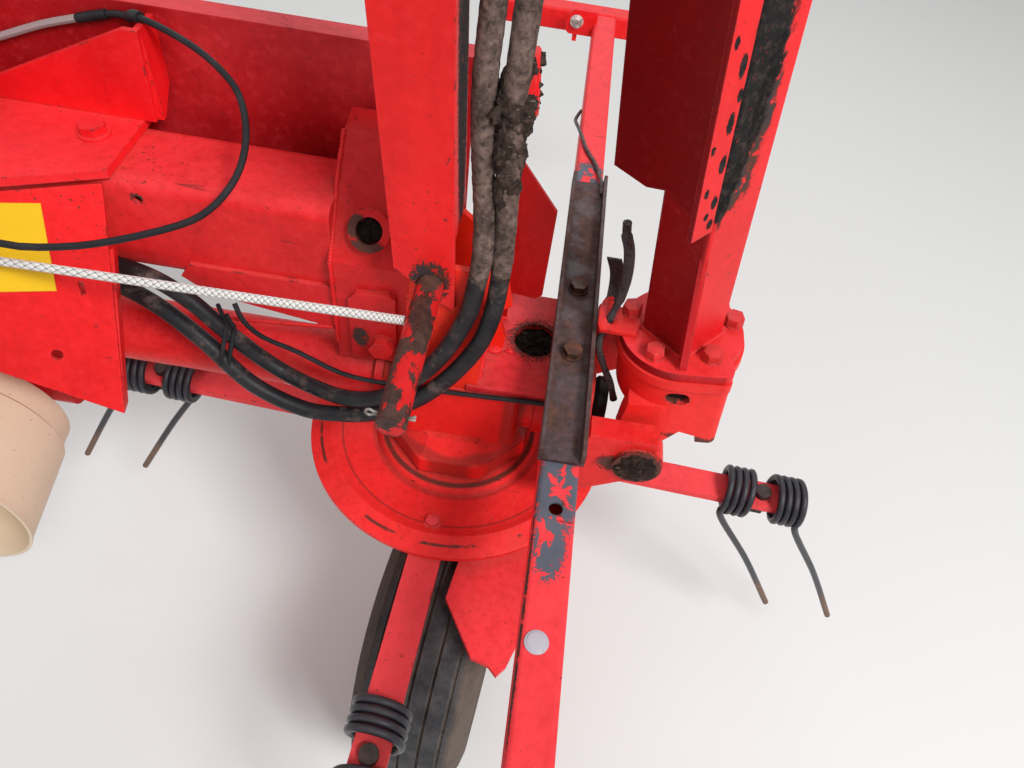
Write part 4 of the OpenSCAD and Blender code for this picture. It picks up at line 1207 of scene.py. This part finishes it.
def split_pin():
    """Split pin of the front peg, with its eye and one leg bent up."""
    half_turn = [math.pi * k / 8 - math.pi / 2 for k in range(9)]
    y, low, high = -228, 769.6, 772.4
    eye = [(-53 - 4 * math.cos(a), y, 771 + 4 * math.sin(a)) for a in half_turn]
    path = [(-14, y, low), (-49, y, low), *eye, (-49, y, high), (-17, y, high), (-14, y, 774.5)]
    bm = bmesh.new()
    add_tube(bm, in_frame(path), 0.0013, 10)
    close_piece(bm, "split_pin_bent", bare_steel("Pin steel", (0.36, 0.34, 0.32), rust=0.3, shine=0.6),
                "frame", stands_for="split_pin")


class TEDDER_OT_small_parts(bpy.types.Operator):
    """Notched holder with its strap, reflector, lug, disc by the hoses, bent rod and split pin"""

    bl_idname = "tedder.small_parts"
    bl_label = "Small parts"

    def execute(self, context):
        strap_holder()
        rubber_strap()
        reflector()
        lug_and_disc()
        disc_core()
        bent_rod()
        split_pin()
        return {"FINISHED"}


# Welds

# Height of a bead that lies on the frame plate
ON_PLATE = PLATE_TOP + 1
FRAME_BEADS = (
    [(-146, -26.5, 742), (-146, -26.5, PLATE_TOP)],
    [(23.5, -50, ON_PLATE), (23.5, -3, ON_PLATE), (44, -1, ON_PLATE)],
    [(-146, -26, 742), (-146, 20, 808), (-146, 58, 846)],
    [(-303, -23, 641), (-290, -23, 622), (-150, -23, 638)],
    [(102, BAR_END, 640), (102, BAR_END, BAR_TOP), (142, BAR_END, BAR_TOP)],
    [(43, 51, ON_PLATE), (31, 51, ON_PLATE)],
)
# Blobs of weld on the frame plate: middle, then half sizes in mm
PLATE_BLOBS = (((34, -3, ON_PLATE), (10, 6, 4)), ((52, -2, 620.5), (6, 4, 3)),
               ((22, -28, ON_PLATE), (5, 7, 3.5)))


def frame_welds(bead):
    """Beads on the brackets and the plate; the bead's radius is in mm."""
    bm = bmesh.new()
    for route in FRAME_BEADS:
        add_bead(bm, in_frame(route), bead)
    for middle, half in PLATE_BLOBS:
        add_lump(bm, Matrix.Translation(rotor(*middle)), half, 0.3, 90.0, 3)
    close_piece(bm, "frame_welds", painted("Weld paint", fade=0.25, chips=0.5), "frame",
                smooth=60)


def wing_welds(bead):
    """Beads round the wing beam's foot and at its corner; the bead's radius is in mm."""
    corners = ((-WELD_REACH, -WING_DROP), (0, WELD_REACH - WING_DROP), (WELD_REACH, -WING_DROP),
               (0, -WELD_REACH - WING_DROP), (-WELD_REACH, -WING_DROP))
    bm = bmesh.new()
    add_bead(bm, [wing(118.5, y, up) for y, up in corners], bead)
    add_bead(bm, [wing(119, y, -30.8) for y in (-61, -45)], bead * 0.7)
    close_piece(bm, "wing_welds", painted("Wing weld paint", fade=0.2, dust=0.35, chips=0.5), "wing",
                smooth=60)


class TEDDER_OT_welds(bpy.types.Operator):
    """Beads of weld on the frame and on the wing"""

    bl_idname = "tedder.welds"
    bl_label = "Welds"

    def execute(self, context):
        bead = hardware().bead * 1000
        frame_welds(bead)
        wing_welds(bead)
        return {"FINISHED"}


# Stage


class TedderStage(bpy.types.PropertyGroup):
    """Floor, sky and camera."""

    floor: colour_setting("Floor", "Colour of the floor", (0.84, 0.84, 0.83))
    sky: bpy.props.FloatProperty(
        name="Sky", description="Strength of the soft light all round", min=0, max=2, default=0.42)
    lens: bpy.props.FloatProperty(
        name="Lens", description="Focal length in millimetres on a 36 mm wide sensor", min=10, max=100,
        default=27)
    pitch: bpy.props.FloatProperty(
        name="Pitch", description="How far the camera looks down", subtype="ANGLE",
        default=math.radians(50.7))
    roll: bpy.props.FloatProperty(
        name="Roll", description="Camera turned about its own line of sight", subtype="ANGLE",
        default=math.radians(9.2))


# Lamps: name, place and side in metres, power in watts
LAMPS = (
    ("key", (2.5, -1.9, 2.9), 1.2, 132),
    ("fill", (-1.6, -1.2, 2.2), 2.6, 12),
    ("back", (0.4, 2.6, 2.4), 2.2, 26),
)
LAMP_TARGET = Vector((0.65, 0, -0.2))
CAMERA_PLACE = (0.7135, -0.638, 0.562)
SENSOR = 36
NEAREST = 0.01
FLOOR_HALF = 14


def add_to_scene(name, data):
    obj = bpy.data.objects.new(name, data)
    bpy.context.scene.collection.objects.link(obj)
    return obj


def add_floor(colour):
    """Plain pale floor at the height of the ground."""
    bm = bmesh.new()
    bmesh.ops.create_grid(bm, x_segments=1, y_segments=1, size=FLOOR_HALF)
    bmesh.ops.translate(bm, verts=bm.verts, vec=rotor(0, 0, 0))
    mesh = bpy.data.meshes.new("floor")
    bm.to_mesh(mesh)
    bm.free()
    s = Surface("Floor")
    mesh.materials.append(s.finish(s.mix(s.noise(3.0, 4.0) * 0.5, colour, scaled(colour, 0.96)), 0.8, edge=0))
    add_to_scene("floor", mesh)


def add_sky(strength):
    """Soft light all round that the camera and reflections see as plain white."""
    world = bpy.data.worlds.new("Soft sky")
    bpy.context.scene.world = world
    world.use_nodes = True
    nodes, link = world.node_tree.nodes, world.node_tree.links.new
    nodes.clear()
    path = nodes.new("ShaderNodeLightPath").outputs
    camera_or_glossy, seen = nodes.new("ShaderNodeMath"), nodes.new("ShaderNodeMath")
    light, white = nodes.new("ShaderNodeBackground"), nodes.new("ShaderNodeBackground")
    mix, out = nodes.new("ShaderNodeMixShader"), nodes.new("ShaderNodeOutputWorld")
    camera_or_glossy.operation = seen.operation = "MAXIMUM"
    light.inputs["Strength"].default_value = strength
    link(path["Is Camera Ray"], camera_or_glossy.inputs[0])
    link(path["Is Glossy Ray"], camera_or_glossy.inputs[1])
    link(camera_or_glossy.outputs[0], seen.inputs[0])
    link(path["Is Transmission Ray"], seen.inputs[1])
    link(seen.outputs[0], mix.inputs[0])
    link(light.outputs[0], mix.inputs[1])
    link(white.outputs[0], mix.inputs[2])
    link(mix.outputs[0], out.inputs[0])


def add_lamps():
    for name, place, side, power in LAMPS:
        lamp = bpy.data.lights.new(name, "AREA")
        lamp.size, lamp.energy = side, power
        add_to_scene(name, lamp).matrix_world = facing(Vector(place), Vector(place) - LAMP_TARGET)


def add_camera(lens, pitch, roll):
    """Camera that looks along the machine, pitched down and rolled, as in the photograph."""
    camera = bpy.data.cameras.new("camera")
    camera.lens, camera.sensor_width, camera.clip_start = lens, SENSOR, NEAREST
    right = (math.cos(roll), math.sin(roll) * math.sin(pitch), math.sin(roll) * math.cos(pitch))
    above = (-math.sin(roll), math.cos(roll) * math.sin(pitch), math.cos(roll) * math.cos(pitch))
    back = (0, -math.cos(pitch), math.sin(pitch))
    obj = add_to_scene("camera", camera)
    obj.matrix_world = Matrix.Translation(CAMERA_PLACE) @ Matrix((right, above, back)).transposed().to_4x4()
    bpy.context.scene.camera = obj


class TEDDER_OT_stage(bpy.types.Operator):
    """Floor, soft lamps, white surroundings and the camera"""

    bl_idname = "tedder.stage"
    bl_label = "Stage"

    def execute(self, context):
        stage = context.scene.tedder_stage
        context.scene.view_settings.view_transform = "Standard"
        add_floor(stage.floor)
        add_sky(stage.sky)
        add_lamps()
        add_camera(stage.lens, stage.pitch, stage.roll)
        return {"FINISHED"}


# Add-on

STEPS = (TEDDER_OT_red_frame, TEDDER_OT_red_moving, TEDDER_OT_other_finishes, TEDDER_OT_tines,
         TEDDER_OT_hoses, TEDDER_OT_mud, TEDDER_OT_bolts, TEDDER_OT_small_parts, TEDDER_OT_welds,
         TEDDER_OT_stage)
GROUPS = (("tedder_paint", TedderPaint), ("tedder_hardware", TedderHardware), ("tedder_stage", TedderStage))


class TEDDER_PT_panel(bpy.types.Panel):
    """Lists the steps that dress the rotor unit"""

    bl_label = "Tedder rotor unit"
    bl_idname = "TEDDER_PT_panel"
    bl_space_type = "VIEW_3D"
    bl_region_type = "UI"
    bl_category = "Tedder"

    def draw(self, context):
        for key, group in GROUPS:
            box = self.layout.box()
            for name in group.__annotations__:
                box.prop(getattr(context.scene, key), name)
        for step in STEPS:
            self.layout.operator(step.bl_idname)


def register():
    for key, group in GROUPS:
        bpy.utils.register_class(group)
        setattr(bpy.types.Scene, key, bpy.props.PointerProperty(type=group))
    for step in (*STEPS, TEDDER_PT_panel):
        bpy.utils.register_class(step)


def unregister():
    for step in (TEDDER_PT_panel, *reversed(STEPS)):
        bpy.utils.unregister_class(step)
    for key, group in reversed(GROUPS):
        delattr(bpy.types.Scene, key)
        bpy.utils.unregister_class(group)


def main():
    register()
    for step in STEPS:
        area, name = step.bl_idname.split(".")
        getattr(getattr(bpy.ops, area), name)()


if __name__ == "__main__":
    main()
